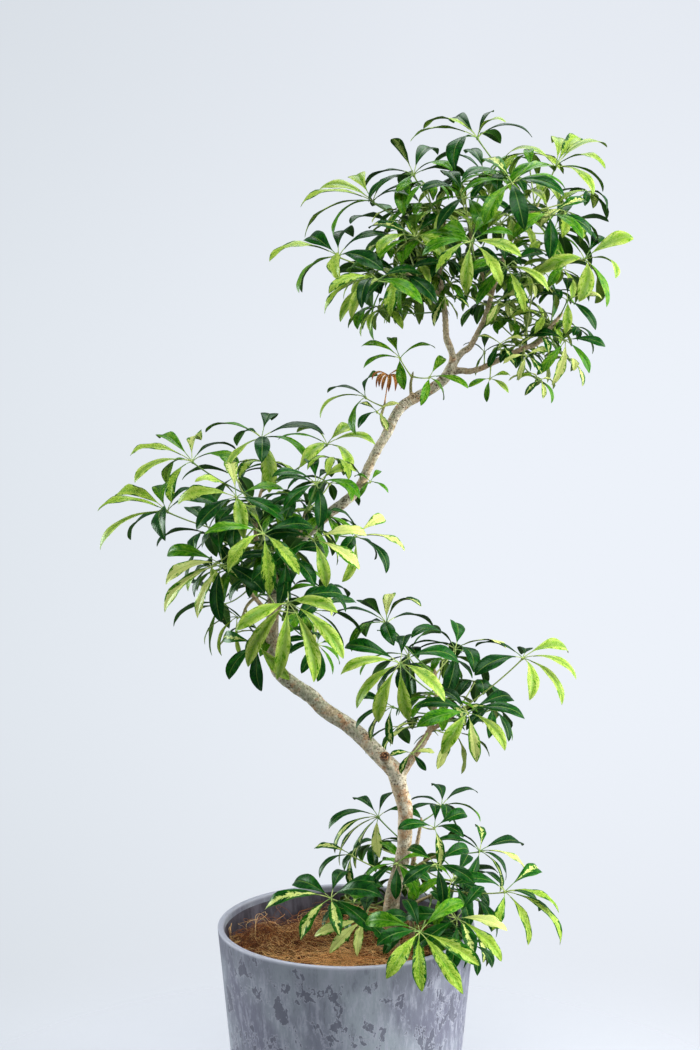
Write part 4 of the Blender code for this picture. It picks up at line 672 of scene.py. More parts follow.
@dataclass(frozen=True)
class BarkFinish:
    """Smooth pale bark: beige with grey-green patches, ring scars and small raised pores."""

    tan: Colour = screen(194, 165, 124)
    rust: Colour = screen(196, 138, 92)
    lichen: Colour = screen(136, 146, 118)
    silver: Colour = screen(238, 230, 208)
    scar: Colour = screen(84, 64, 44)
    young: Colour = screen(122, 132, 74)
    cut_wood: Colour = screen(48, 26, 15)
    zones: tuple = (
        (0.25, screen(164, 148, 118)),
        (0.36, screen(182, 170, 142)),
        (0.42, screen(212, 202, 174)),
        (0.49, screen(216, 208, 182)),
        (0.56, screen(172, 172, 144)),
        (0.66, screen(184, 176, 146)),
        (0.78, screen(212, 206, 184)),
        (0.90, screen(200, 190, 162)),
    )
    rust_at: Colour = (0.084, -0.024, 0.500)
    bough: Colour = screen(150, 112, 76)
    bough_at: Colour = (0.106, 0.0, 0.606)

    def make(self) -> Material:
        """Writes the material.

        Returns:
            The material.
        """
        g = Graph("bark")
        where = g.place()
        _, _, length = g.stored("place")
        girth, own, cut = g.stored("trait")
        patch = g.noise(where, 34.0, 5.0, 0.62, 0.6)
        blotch = g.noise(where, 130.0, 4.0, 0.68)
        grain = g.noise(where, 800.0, 3.0, 0.65)
        speck = g.noise(g.stretched(where, (1, 1, 0.7)), 330.0, 3.0, 0.7)
        # The ground colour by height, and its patches.
        height = g.times(patch, 0.10, g.times(g.axes(where)[2], 0.83))
        body = g.ramp(g.minus(height, 0.05), self.zones)
        body = g.mix(g.step(blotch, 0.50, 0.58, 0.0, 0.60), body, self.lichen)
        body = g.mix(g.step(blotch, 0.36, 0.46, 0.75, 0.0), body, self.silver)
        body = g.mix(g.step(patch, 0.52, 0.60, 0.0, 0.55), body, self.tan)
        body = g.mix(g.step(g.noise(where, 62.0, 4.0, 0.66), 0.56, 0.66, 0.0, 0.60), body, self.rust)
        away = g.distance(g.stretched(where, (1, 1, 0.4)), (*self.rust_at[:2], 0.4 * self.rust_at[2]))
        body = g.mix(g.times(g.step(away, 0.006, 0.030, 0.62, 0.0), g.step(blotch, 0.44, 0.58)), body, self.rust)
        # Pores, ring scars and specks.
        fleck = g.times(grain, 0.5, g.cells(g.stretched(where, (1, 1, 1.5)), 210.0))
        fleck = g.times(g.noise(where, 75.0, 2.0), -0.9, g.plus(fleck, 0.25))
        body = g.mix(g.step(fleck, 0.20, 0.32, 0.85, 0.0), body, self.scar)
        body = g.mix(g.step(grain, 0.55, 0.75, 0.0, 0.30), body, self.scar)
        wander = g.times(blotch, 0.42, length)
        ring = g.math("FRACT", g.times(wander, 0.61))
        line = g.step(g.math("ABSOLUTE", g.minus(ring, 0.5)), 0.02, 0.07, 1.0, 0.0)
        line = g.times(line, g.step(patch, 0.44, 0.56))
        body = g.mix(g.times(line, 0.35), body, self.scar)
        body = g.mix(g.step(girth, 0.25, 0.62, 0.70, 0.0), body, self.tan)
        body = g.mix(g.step(speck, 0.34, 0.42, 0.60, 0.0), body, self.silver)
        body = g.mix(g.step(speck, 0.55, 0.62, 0.0, 0.62), body, self.scar)
        body = g.mix(g.step(girth, 0.16, 0.30, 0.80, 0.0), body, self.young)
        away = g.distance(where, self.bough_at)
        body = g.mix(g.times(g.step(away, 0.036, 0.056, 0.50, 0.0), g.step(speck, 0.34, 0.46)), body, self.bough)
        body = g.mix(cut, body, g.mix(g.step(speck, 0.52, 0.60), self.cut_wood, self.rust))
        pores = g.step(fleck, 0.10, 0.34, 1.0, 0.0)
        relief = g.plus(g.times(grain, 0.5), g.times(pores, 0.5))
        relief = g.times(g.plus(line, own), 0.15, relief)
        return g.finish(base_color=body, roughness=0.66, normal=g.bump(relief, 0.0011, 0.8), specular_ior_level=0.3)


@dataclass(frozen=True)
class StalkFinish:
    """The smooth pale green stalks that carry the leaves."""

    pale: Colour = screen(170, 190, 104)
    green: Colour = screen(104, 142, 66)
    base: Colour = screen(128, 118, 70)

    def make(self) -> Material:
        """Writes the material.

        Returns:
            The material.
        """
        g = Graph("leaf_stalk")
        own, length, _ = g.stored("place")
        line = g.noise(g.joined(g.times(own, 40.0), g.times(length, 5.0), 0.0), 1.0, 3.0)
        body = g.mix(g.step(g.plus(line, own), 0.6, 1.3), self.green, self.pale)
        body = g.mix(g.step(length, 0.0, 0.10, 0.7, 0.0), body, self.base)
        grain = g.noise(g.place(), 1400.0, 2.0)
        return g.finish(base_color=body, roughness=0.42, normal=g.bump(grain, 0.0002, 0.5), specular_ior_level=0.45)


class Face(Enum):
    """Which face of a leaf a finish is for."""

    UPPER = "leaf_upper"
    UNDER = "leaf_under"


@dataclass(frozen=True)
class LeafFinish:
    """A leaf's face: from dark green to lime, cream patches and dark streaks that follow its side veins."""

    face: Face
    dark: Colour = screen(2, 46, 12)
    deep: Colour = screen(20, 87, 7)
    middle: Colour = screen(73, 132, 6)
    lime: Colour = screen(144, 172, 56)
    bright: Colour = screen(178, 196, 102)
    cream: Colour = screen(210, 214, 134)
    rib: Colour = screen(120, 148, 66)
    under_dark: Colour = screen(52, 90, 26)
    under_pale: Colour = screen(126, 152, 56)
    vein_slope: float = 0.12
    veins: float = 13.0

    def make(self) -> Material:
        """Writes the material.

        Returns:
            The material.
        """
        g = Graph(self.face.value)
        across, along, own = g.stored("place")
        pale, cream, streak = g.stored("trait")
        # Noise that runs out from the midrib along the side veins, different on each half.
        out = g.math("ABSOLUTE", across)
        side = g.times(g.math("SIGN", across), 4.7, g.times(own, 91.0))
        rise = g.minus(along, g.times(out, self.vein_slope))
        broad = g.noise(g.joined(g.times(rise, 9.0), g.times(out, 1.5), side), 1.0, 4.0, 0.62)
        fine = g.noise(g.joined(g.times(rise, 30.0), g.times(out, 5.0), side), 1.0, 4.0, 0.66)
        dots = g.noise(g.joined(g.times(rise, 70.0), g.times(out, 12.0), side), 1.0, 2.0, 0.7)
        fine = g.plus(g.times(fine, 0.62), g.times(dots, 0.38))
        swing = g.minus(broad, 0.5)
        flecks = g.times(fine, 1.3, -0.65)
        uneven = g.times(pale, 1.35, 0.25)
        tone = g.times(g.plus(g.times(swing, 1.5), g.times(flecks, 1.7)), uneven, pale)
        scale = ((0.0, self.dark), (0.18, self.deep), (0.45, self.middle), (0.72, self.lime), (1.0, self.bright))
        body = g.ramp(tone, scale)
        # A streak along the midrib, and light patches towards the margin.
        inner = g.plus(g.times(swing, 1.7), g.times(flecks, 0.45))
        core = g.plus(g.times(out, -1.05, streak), g.times(flecks, 2.0, inner))
        body = g.mix(g.step(core, 0.26, 0.42, 0.0, 0.60), body, g.mix(g.times(pale, 0.6), self.deep, self.middle))
        light = g.plus(g.times(out, -0.72, g.times(cream, 1.3)), inner)
        patch = g.mix(g.step(fine, 0.38, 0.66), self.bright, self.cream)
        fresh = g.plus(g.times(out, 0.10, fine), g.times(streak, 0.22, -0.095))
        limy = g.mix(g.step(fresh, 0.44, 0.56), self.middle, self.lime)
        limy = g.mix(g.step(fresh, 0.54, 0.74), limy, self.bright)
        patch = g.mix(g.step(streak, 0.2, 0.3), patch, limy)
        body = g.mix(g.step(light, 0.34, 0.40), body, patch)
        edge = g.times(g.step(light, 0.24, 0.34), g.minus(1.0, g.step(light, 0.34, 0.40)))
        body = g.mix(g.times(edge, 0.5), body, self.middle)
        # Side veins, midrib and margin.
        beside = g.math("ABSOLUTE", g.minus(g.math("FRACT", g.times(rise, self.veins)), 0.5))
        body = g.mix(g.times(g.step(beside, 0.02, 0.10, 1.0, 0.0), 0.06), body, self.rib)
        body = g.mix(g.step(out, 0.022, 0.060, 0.62, 0.0), body, self.rib)
        body = g.mix(g.step(out, 0.955, 0.99, 0.0, 0.35), body, self.rib)
        relief = g.times(fine, 0.3, g.times(g.step(beside, 0.0, 0.42), 0.4))
        if self.face is Face.UNDER:
            body = g.mix(0.62, body, g.mix(g.step(tone, 0.1, 0.9), self.under_dark, self.under_pale))
            relief = g.bump(relief, -0.0004, 0.5)
            return g.finish(base_color=body, roughness=0.6, normal=relief, specular_ior_level=0.15)
        rough, relief = g.step(broad, 0.3, 0.7, 0.24, 0.34), g.bump(relief, 0.0003, 0.45)
        gloss = {"specular_ior_level": 0.22, "specular_tint": (0.6, 1.0, 0.6)}
        return g.finish(base_color=body, roughness=rough, normal=relief, **gloss)


@dataclass(frozen=True)
class WitheredFinish:
    """A dried leaf: warm brown, darker towards its tip and along its ribs."""

    pale: Colour = screen(230, 174, 104)
    middle: Colour = screen(192, 122, 60)
    dark: Colour = screen(142, 82, 40)

    def make(self) -> Material:
        """Writes the material.

        Returns:
            The material.
        """
        g = Graph("withered_leaf")
        across, along, own = g.stored("place")
        blotch = g.noise(g.joined(across, g.times(along, 9.0), g.times(own, 50.0)), 1.4, 4.0, 0.6)
        body = g.mix(g.step(blotch, 0.35, 0.65), self.middle, self.pale)
        body = g.mix(g.step(g.plus(along, blotch), 0.9, 1.45), body, self.dark)
        crease = g.noise(g.place(), 700.0, 4.0, 0.7)
        return g.finish(base_color=body, roughness=0.68, normal=g.bump(crease, 0.0008, 0.7), specular_ior_level=0.3)


@dataclass(frozen=True)
class BackdropFinish:
    """The studio floor: pale paper under the planter that fades into the even pale air."""

    paper: Colour = screen(177, 181, 188)
    near: float = 0.30
    far: float = 1.0

    def make(self) -> Material:
        """Writes the material.

        Returns:
            The material.
        """
        g = Graph("studio_floor")
        distance = g.distance(g.place(), (0, 0, 0))
        fibre = g.noise(g.place(), 300.0, 3.0)
        tint = g.mix(g.step(fibre, 0.3, 0.7), self.paper, tuple(0.985 * c for c in self.paper))
        fade = g.step(distance, self.near, self.far, 1.0, 0.0)
        return g.finish(base_color=tint, roughness=0.85, specular_ior_level=0.2, alpha=fade)


def seen(x: float, depth: float, z: float) -> Vector:
    """The place in metres that looks like (x, z) in the plane y = 0 but stands at this depth, in centimetres."""
    scale = (EYE_DISTANCE + depth) / EYE_DISTANCE
    return Vector((EYE_X + (x - EYE_X) * scale, depth, EYE_Z + (z - EYE_Z) * scale)) / 100


def placed(route: tuple) -> tuple[Route, list[float]]:
    """A route's points and radii in metres, from its rows of x, depth, z and radius in centimetres."""
    return [seen(*row[:3]) for row in route], [row[3] / 100 for row in route]


def smoothed(points: Route, radii: list[float], spacing: float) -> tuple[Array, Array]:
    """Even points along a smooth curve through the given ones.

    Args:
        points: The points to pass through.
        radii: The radius at each.
        spacing: How far apart the new points are.

    Returns:
        The new points and their radii.
    """
    rough = np.array([tuple(p) for p in points])
    padded = np.vstack([2 * rough[0] - rough[1], rough, 2 * rough[-1] - rough[-2]])
    fine, sizes = [], []
    for i in range(len(rough) - 1):
        before, a, b, after = padded[i : i + 4]
        t = np.linspace(0, 1, 16, endpoint=False)[:, None]
        square, cube = (2 * before - 5 * a + 4 * b - after) * t**2, (3 * a - before - 3 * b + after) * t**3
        fine.append(0.5 * (2 * a + (b - before) * t + square + cube))
        sizes.append(radii[i] + (radii[i + 1] - radii[i]) * t[:, 0])
    fine = np.vstack([*fine, rough[-1:]])
    sizes = np.concatenate([*sizes, radii[-1:]])
    gone = np.concatenate([[0], np.cumsum(np.linalg.norm(np.diff(fine, axis=0), axis=1))])
    count = max(3, int(gone[-1] / spacing) + 1)
    at = np.linspace(0, gone[-1], count)
    return np.stack([np.interp(at, gone, fine[:, k]) for k in range(3)], 1), np.interp(at, gone, sizes)


def unit(rows: Array) -> Array:
    """Vectors made one long."""
    return rows / np.maximum(np.linalg.norm(rows, axis=-1, keepdims=True), 1e-12)


def turned_frames(line: Array) -> tuple[Array, Array]:
    """Two cross directions at each point of a line, turned as little as possible between points.

    Args:
        line: The points.

    Returns:
        The first and second cross directions.
    """
    ahead = unit(np.gradient(line, axis=0))
    side = unit(np.cross(ahead[0], (0.13, 1.0, 0.07)))
    first = []
    for forward in ahead:
        side = unit(side - forward * (side @ forward))
        first.append(side)
    first = np.array(first)
    return first, np.cross(ahead, first)


def nearest(routes: list[Route], place: Vector) -> Vector:
    """The nearest point to a place on any of the routes.

    Args:
        routes: Lists of points.
        place: The place.

    Returns:
        The point.
    """
    found = []
    for route in routes:
        for a, b in zip(route, route[1:]):
            along = max(0, min(1, (place - a).dot(b - a) / (b - a).length_squared))
            found.append(a.lerp(b, along))
    return min(found, key=lambda point: (point - place).length)


def grid_faces(rows: int, columns: int, closed: bool) -> Array:
    """The quads of a grid of points.

    Args:
        rows: How many rows of points there are.
        columns: How many points a row has.
        closed: Whether each row's last point joins its first.

    Returns:
        The quads, as point numbers.
    """
    i, j = np.meshgrid(np.arange(rows - 1), np.arange(columns if closed else columns - 1), indexing="ij")
    a, b = i * columns + j, i * columns + (j + 1) % columns
    return np.stack([a, b, b + columns, a + columns], -1).reshape(-1, 4)


def turns(count: int) -> Array:
    """Even turns round a circle."""
    return np.linspace(0, math.tau, count, endpoint=False)


def wheel(middle: int, first: int, count: int) -> Array:
    """The triangles between a middle point and a ring of points, as point numbers."""
    around = np.arange(count)
    return np.stack([np.full(count, middle), first + around, first + (around + 1) % count], 1)


def bell(x: Array, y: Array, centre: tuple, spread: float) -> Array:
    """A round bump of height 1 on a plane."""
    return np.exp(-((x - centre[0]) ** 2 + (y - centre[1]) ** 2) / spread)


class Mesher:
    """Gathers points, faces and what the finishes read off them, and makes one piece of them."""

    def __init__(self, rng: Random | None = None) -> None:
        """Starts empty.

        Args:
            rng: Seeded random numbers for what grows in it.
        """
        self.rng = rng
        self.points: list[Array] = []
        self.place: list[Array] = []
        self.trait: list[Array] = []
        self.faces: list[Array] = []
        self.slots: list[Array] = []
        self.count = 0

    def add(
        self,
        points: Array,
        faces: list[Array],
        slots: list[int],
        place: object = (0, 0, 0),
        trait: object = (0, 0, 0),
    ) -> None:
        """Adds one closed shape.

        Args:
            points: Its points.
            faces: Arrays of quads or triangles.
            slots: The finish of each of those arrays.
            place: What the finishes read as "place", one row or one for each point.
            trait: The same for "trait".
        """
        self.points.append(points)
        self.place.append(np.broadcast_to(place, points.shape))
        self.trait.append(np.broadcast_to(trait, points.shape))
        for group, slot in zip(faces, slots):
            self.faces.append(group + self.count)
            self.slots.append(np.full(len(group), slot))
        self.count += len(points)

    def tube(
        self,
        line: Array,
        radii: Array,
        sides: int,
        own: float = 0.0,
        share: Array | None = None,
        trait: object = (0, 0, 0),
    ) -> None:
        """Adds a closed round tube. Finishes read its own number and the share of its length.

        Args:
            line: Its centre line.
            radii: The radius at each point.
            sides: How many sides it has.
            own: A number of its own.
            share: What replaces the share of its length, one for each point.
            trait: What the finishes read as "trait", one row or one for each point.
        """
        u, v = turned_frames(line)
        turn = turns(sides)
        ring = np.cos(turn)[None, :, None] * u[:, None] + np.sin(turn)[None, :, None] * v[:, None]
        points = (line[:, None] + ring * np.asarray(radii)[:, None, None]).reshape(-1, 3)
        share = np.linspace(0, 1, len(line)) if share is None else share
        place = np.stack([np.full(len(line), own), share, share], 1)
        fan = np.stack([np.zeros(sides - 2, int), np.arange(1, sides - 1), np.arange(2, sides)], 1)
        faces = [grid_faces(len(line), sides, True), fan[:, ::-1], fan + (len(line) - 1) * sides]
        trait = np.broadcast_to(trait, line.shape)
        self.add(points, faces, [0] * 3, np.repeat(place, sides, 0), np.repeat(trait, sides, 0))

    def piece(
        self, name: str, finishes: list[Material], slot: str, nodes: list[str], crease: float | None = None
    ) -> Thing:
        """Makes the piece, has it ride on the plant, and hides the nodes that it stands for.

        Args:
            name: The piece's name.
            finishes: Its materials, in the order of their slots.
            slot: The record's material slot. Not used.
            nodes: The nodes that it stands for.
            crease: The angle above which an edge looks sharp, if any does.

        Returns:
            The piece.
        """
        mesh = bpy.data.meshes.new(name)
        points = np.vstack(self.points).astype(np.float32)
        sizes = np.concatenate([np.full(len(group), group.shape[1]) for group in self.faces])
        corners = np.concatenate([group.reshape(-1) for group in self.faces]).astype(np.int32)
        mesh.vertices.add(len(points))
        mesh.vertices.foreach_set("co", points.ravel())
        mesh.loops.add(len(corners))
        mesh.loops.foreach_set("vertex_index", corners)
        mesh.polygons.add(len(sizes))
        mesh.polygons.foreach_set("loop_start", np.concatenate([[0], np.cumsum(sizes)[:-1]]).astype(np.int32))
        mesh.polygons.foreach_set("material_index", np.concatenate(self.slots).astype(np.int32))
        mesh.update(calc_edges=True)
        for key, rows in (("place", self.place), ("trait", self.trait)):
            stored = mesh.attributes.new(key, "FLOAT_VECTOR", "POINT")
            stored.data.foreach_set("vector", np.vstack(rows).astype(np.float32).ravel())
        mesh.shade_smooth()
        if crease is not None:
            mesh.set_sharp_from_angle(angle=crease)
        for finish in finishes:
            mesh.materials.append(finish)
        thing = bpy.data.objects.new(name, mesh)
        bpy.context.scene.collection.objects.link(thing)
        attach(thing, BODY)
        if nodes:
            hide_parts(*nodes)
        LOG.info("%s: %d faces", name, len(mesh.polygons))
        return thing


def spread(directions: Route) -> float:
    """The least angle between any two of the directions."""
    return min(a.angle(b) for a, b in itertools.combinations(directions, 2))


class Tone(Enum):
    """How a leaflet is marked."""

    DARK = "d"
    GREEN = "g"
    LIME = "l"
    MOTTLED = "m"
    CREAM = "c"
    FLAME = "h"
    PLAIN = "p"

    def marked(self, rng: Random) -> Array:
        """How pale, how cream and how streaked a leaflet of this marking is.

        Args:
            rng: Seeded random numbers.

        Returns:
            The three shares.
        """
        pale, cream, streak = {
            Tone.DARK: (0.04, 0.0, 0.0),
            Tone.GREEN: (0.39, 0.0, 0.42),
            Tone.LIME: (0.80, 0.0, 0.70),
            Tone.MOTTLED: (0.16, 0.72, 0.50),
            Tone.CREAM: (0.50, 0.72, 0.0),
            Tone.FLAME: (0.12, 0.44, 0.0),
            Tone.PLAIN: (0.42, 0.0, 0.0),
        }[self]
        near = rng.uniform(-1, 1, 3) * (0.05, 0.10, 0.14)
        return np.array([pale + near[0], cream + near[1] if cream else 0.0, streak + near[2] if streak else 0.0])


@dataclass
class LeafShape:
    """How one leaf of several leaflets grows: where each leaflet ends, how it arches and how wide it is."""

    chord: float = 0.94
    arch: float = 0.27
    droop: float = 0.30
    stand: float = 0.6
    full: int = 8
    least_angle: float = 0.62
    ways: int = 36
    large: float = 7.0
    clear_of_trunk: float = 0.024
    clear_of_wood: float = 0.014
    half_width: float = 0.140
    widest: float = 0.0132
    dark_share: float = 1.12
    ragged: float = 0.16
    fold: float = 0.38
    cup: float = 0.26
    flatter: float = 0.15
    thickness: float = 0.00042
    rib: float = 0.00085
    stalklet: float = 0.00072
    petiole: float = 0.00105
    hub: float = 0.0023
    stations: tuple = (0.0, 0.035, 0.08, 0.14, 0.21, 0.29, 0.38, 0.47, 0.56, 0.65, 0.73, 0.80, 0.87, 0.93, 0.97)
    widest_at: float = 0.57
    columns: tuple = (-1.0, -0.80, -0.52, -0.20, 0.0, 0.20, 0.52, 0.80, 1.0)

    def tips(self, hub: tuple, reach: float, ends: tuple) -> Route:
        """Leaflet tips in metres. Each is where it is seen, as far in front of or behind the hub as its
        length needs, on the side that keeps the leaflets furthest apart. Lower tips come forward.

        Args:
            hub: The hub's x, depth and z.
            reach: The leaflets' length.
            ends: Each tip's x and z, and its depth from the hub where that is known.

        Returns:
            The tips.
        """
        centre = seen(*hub)
        choices = []
        for tip in ends:
            if len(tip) == 2 and tip[1] > hub[2]:
                tip = (tip[0], hub[2] + self.stand * (tip[1] - hub[2]))
            if len(tip) == 3:
                choices.append([(seen(tip[0], hub[1] + tip[2], tip[1]), 0.0)])
                continue
            flat = math.hypot(tip[0] - hub[0], tip[1] - hub[2])
            out = math.sqrt(max((self.chord * reach) ** 2 - flat**2, 0.04 * reach**2))
            lean = 0.25 * (tip[1] - hub[2]) / reach
            near, far = (seen(tip[0], hub[1] + step, tip[1]) for step in (-out, out))
            choices.append([(near, -lean), (far, lean)])
        best, found = None, None
        for option in itertools.product(*choices):
            places = [place for place, _ in option]
            score = spread([place - centre for place in places]) + sum(lean for _, lean in option)
            if best is None or score > best:
                best, found = score, places
        return found

    def filled(self, centre: Vector, u: Vector, v: Vector, axis: Vector, reach: float, ends: Route) -> Route:
        """Adds the leaflets that other ones hide in the view, in the widest gaps of a large leaf.

        Args:
            centre: The hub.
            u: A cross direction.
            v: The other cross direction.
            axis: The leaf's upward direction.
            reach: The leaflets' length in centimetres.
            ends: The tips that are known.

        Returns:
            All tips.
        """
        ends = list(ends)
        span = self.chord * reach / 100
        trunk = [placed(TRUNK_ROUTE)[0]]
        while reach > self.large and len(ends) < self.full:
            options = []
            for k in range(self.ways):
                turn = math.tau * k / self.ways
                way = math.cos(turn) * u + math.sin(turn) * v - self.droop * axis
                room = min(way.angle(end - centre) for end in ends)
                place = centre + way.normalized() * span * 0.9
                near = min((nearest(trunk, p) - p).length for p in (place, centre.lerp(place, 0.6)))
                if near > self.clear_of_trunk:
                    options.append((room, k, place))
            room, _, place = max(options)
            if room < self.least_angle:
                break
            ends.append(place)
        return ends

    def grow(
        self, mesher: Mesher, hub: tuple, root: Vector, stem: Vector, reach: float, ends: tuple, tones: str
    ) -> None:
        """Adds one whole leaf: its stalk, its hub and its leaflets.

        Args:
            mesher: Where it goes.
            hub: The hub's x, depth and z.
            root: Where its stalk leaves the stem's route.
            stem: The same place on the smooth stem.
            reach: The leaflets' length in centimetres.
            ends: Their tips as seen.
            tones: A letter for each leaflet's marking. The last one goes on for the rest.
        """
        centre = seen(*hub)
        stalk = (centre - root).normalized()
        axis = (0.6 * stalk + Vector((0, -0.2, 0.8))).normalized()
        u = axis.cross(Vector((0.31, 0.95, 0.05))).normalized()
        v = axis.cross(u)
        all_ends = self.filled(centre, u, v, axis, reach, self.tips(hub, reach, ends))
        for i, end in enumerate(all_ends):
            room = min((end - centre).angle(other - centre) for other in all_ends if other is not end)
            tone = Tone(tones[min(i, len(tones) - 1)])
            self.leaflet(mesher, np.array(centre), np.array(axis), np.array(end), room, tone)
        self.stalk(mesher, np.array(centre), np.array(axis), np.array(stem))

    def fill(
        self, mesher: Mesher, hub: Array, stem: Array, reach: float, room: tuple, wood: Array, tones: str
    ) -> None:
        """Adds one of the leaves that fill a shoot: an even drooping whorl that keeps inside the shoot's space.

        Args:
            mesher: Where it goes.
            hub: The hub.
            stem: Where its stalk leaves the stem.
            reach: The leaflets' length in metres.
            room: The middle and the half sizes of the shoot's space.
            wood: Points inside the trunk, to keep clear of.
            tones: Letters of markings to draw from.
        """
        rng = mesher.rng
        middle, half = room
        lean = (hub - middle) / half
        axis = unit(0.35 * unit(hub - stem) + 0.25 * lean + np.array([0.0, -0.15, 1.0]))
        u = unit(np.cross(axis, (0.31, 0.95, 0.05)))
        v = np.cross(axis, u)
        count = int(rng.integers(7, 10))
        first = rng.uniform(0, math.tau)
        main = rng.choice(list(tones))
        for k in range(count):
            turn = first + math.tau * (k + rng.uniform(-0.14, 0.14)) / count
            way = unit(math.cos(turn) * u + math.sin(turn) * v - rng.uniform(0.25, 0.75) * axis)
            length = self.chord * reach * rng.uniform(0.84, 1.04)
            tone = Tone(main if rng.random() < 0.7 else rng.choice(list(tones)))
            over = (((hub + way * length - middle) / (half * 1.04)) ** 2).sum()
            end = hub + way * length * min(1.0, max(0.62, 1.5 - 0.5 * over))
            near = min(np.linalg.norm(wood - p, axis=1).min() for p in (end, (hub + end) / 2))
            if near > self.clear_of_wood:
                self.leaflet(mesher, hub, axis, end, self.least_angle, tone)
        self.stalk(mesher, hub, axis, stem)

    def stalk(self, mesher: Mesher, centre: Array, axis: Array, root: Array) -> None:
        """Adds the leaf's long stalk, with its swollen foot, and the small hub on its end.

        Args:
            mesher: Where it goes.
            centre: The hub.
            axis: The leaf's upward direction.
            root: Where it leaves the stem.
        """
        top = centre - 0.0012 * axis
        length = np.linalg.norm(root - top)
        bend = top + (root - top) * 0.35 - 0.10 * length * axis
        t = np.linspace(0, 1, 15)[:, None]
        line = root * (1 - t) ** 2 + 2 * t * (1 - t) * bend + top * t**2
        share = t[:, 0]
        foot = 1.05 * np.exp(-share * length / 0.0055)
        head = 0.35 * np.exp(-(1 - share) * length / 0.004)
        slim = min(1.0, 0.62 + length / 0.16)
        own = mesher.rng.random()
        mesher.tube(line, self.petiole * slim * (1 + foot + head), 7, own)
        knob = centre + np.array([-0.0030, -0.0016, 0.0, 0.0011, 0.0016])[:, None] * axis
        size = self.hub * slim * np.array([0.55, 0.92, 1.0, 0.68, 0.15])
        mesher.tube(knob, size, 8, own, np.full(5, 0.9))

    def leaflet(self, mesher: Mesher, centre: Array, axis: Array, end: Array, room: float, tone: Tone) -> None:
        """Adds one leaflet: an arched blade with a folded, cupped section and a wavy margin, on its own little stalk.

        Args:
            mesher: Where it goes.
            centre: The hub.
            axis: The leaf's upward direction.
            end: Its tip.
            room: The angle to its nearest neighbour.
            tone: How it is marked.
        """
        span = np.linalg.norm(end - centre)
        drawn = mesher.rng.uniform(-1, 1, 10)
        across = unit(np.cross(axis, end - centre))
        way = unit(end - centre)
        rise = (axis - 0.75 * (axis @ way) * way) * self.arch * span * (1 + 0.2 * drawn[0])
        rise = rise + across * 0.05 * span * drawn[1]
        first = centre + 0.28 * (end - centre) + rise
        second = centre + 0.82 * (end - centre) + 1.08 * rise

        def spine(t: Array) -> tuple[Array, Array]:
            """Follows the midrib.

            Args:
                t: Shares of its length.

            Returns:
                The places there, and the ways that it heads.
            """
            t, left = t[:, None], 1 - t[:, None]
            place = centre * left**3 + 3 * t * left**2 * first + 3 * t**2 * left * second + end * t**3
            return place, unit((first - centre) * left**2 + 2 * t * left * (second - first) + (end - second) * t**2)

        # The midrib and its cross directions, rolled along its length.
        base = 0.15 + 0.025 * drawn[2]
        along = np.array([*self.stations, 1.0])
        place, ahead = spine(base + (1 - base) * along)
        side = unit(across - ahead * (ahead @ across)[:, None])
        up = np.cross(ahead, side)
        roll = (0.16 * drawn[3] + 0.38 * drawn[4] * along)[:, None]
        side, up = side * np.cos(roll) + up * np.sin(roll), up * np.cos(roll) - side * np.sin(roll)
        half = min(self.half_width * span, self.widest + 0.0006 * drawn[5]) * (0.94 + 0.08 * drawn[6])
        half *= min(1.0, 0.55 + 0.45 * room / self.least_angle) * (self.dark_share if tone is Tone.DARK else 1.0)
        fold, cup = self.fold + 0.08 * drawn[7], self.cup + 0.07 * drawn[8]
        # The width at each station, the folded and waved section, and the bitten margin.
        columns = np.array(self.columns)
        out = np.abs(columns)
        rows = len(self.stations)
        swept = along[:-1] ** (math.log(0.5) / math.log(self.widest_at + 0.03 * drawn[2]))
        widths = half * (0.05 + 0.95 * np.sin(np.pi * swept) ** (1.12 - 0.28 * along[:-1]))
        widths = widths * (1 - 0.40 * np.exp(-(1 - along[:-1]) / 0.045))
        marks = tone.marked(mesher.rng)
        down = along[:-1, None]
        ripple = np.sin(down * 13.0 + 9 * drawn[9] + 1.6 * np.sign(columns))
        wave = (0.07 + 0.12 * marks[1]) * ripple * out**2
        lift = (fold * out - cup * out**2)[None] * (1.0 - self.flatter * down) + wave
        lift = lift * widths[:, None]
        bitten = 0.5 + 0.5 * np.sin(down * 19.0 + 7 * drawn[9] + 2.3 * np.sign(columns))
        reach = columns * widths[:, None] * (1 - self.ragged * marks[1] * out * bitten)
        top = place[:-1, None] + side[:-1, None] * reach[..., None] + up[:-1, None] * lift[..., None]
        # The under face with its rib, and the groove above it.
        thick = self.thickness * (1 - out[1:-1] ** 4)
        rib = np.where(out[1:-1] < 0.05, self.rib, 0.0)[None] * (1.15 - down)
        below = top[:, 1:-1] - up[:-1, None] * (thick[None] + rib)[..., None]
        groove = np.where(out < 0.05, 0.00022, 0.0)[None] * (1 - down)
        top = top - up[:-1, None] * groove[..., None]
        points = np.vstack([top.reshape(-1, 3), below.reshape(-1, 3), end[None]])
        # Kept inside the box of the solids.
        low, high = (np.array(corner) for corner in CAD_BOX)
        past = np.where(points > centre, (points - centre) / (high - centre), (points - centre) / (low - centre)).max()
        points = centre + (points - centre) / max(1.0, past * 1.0005)
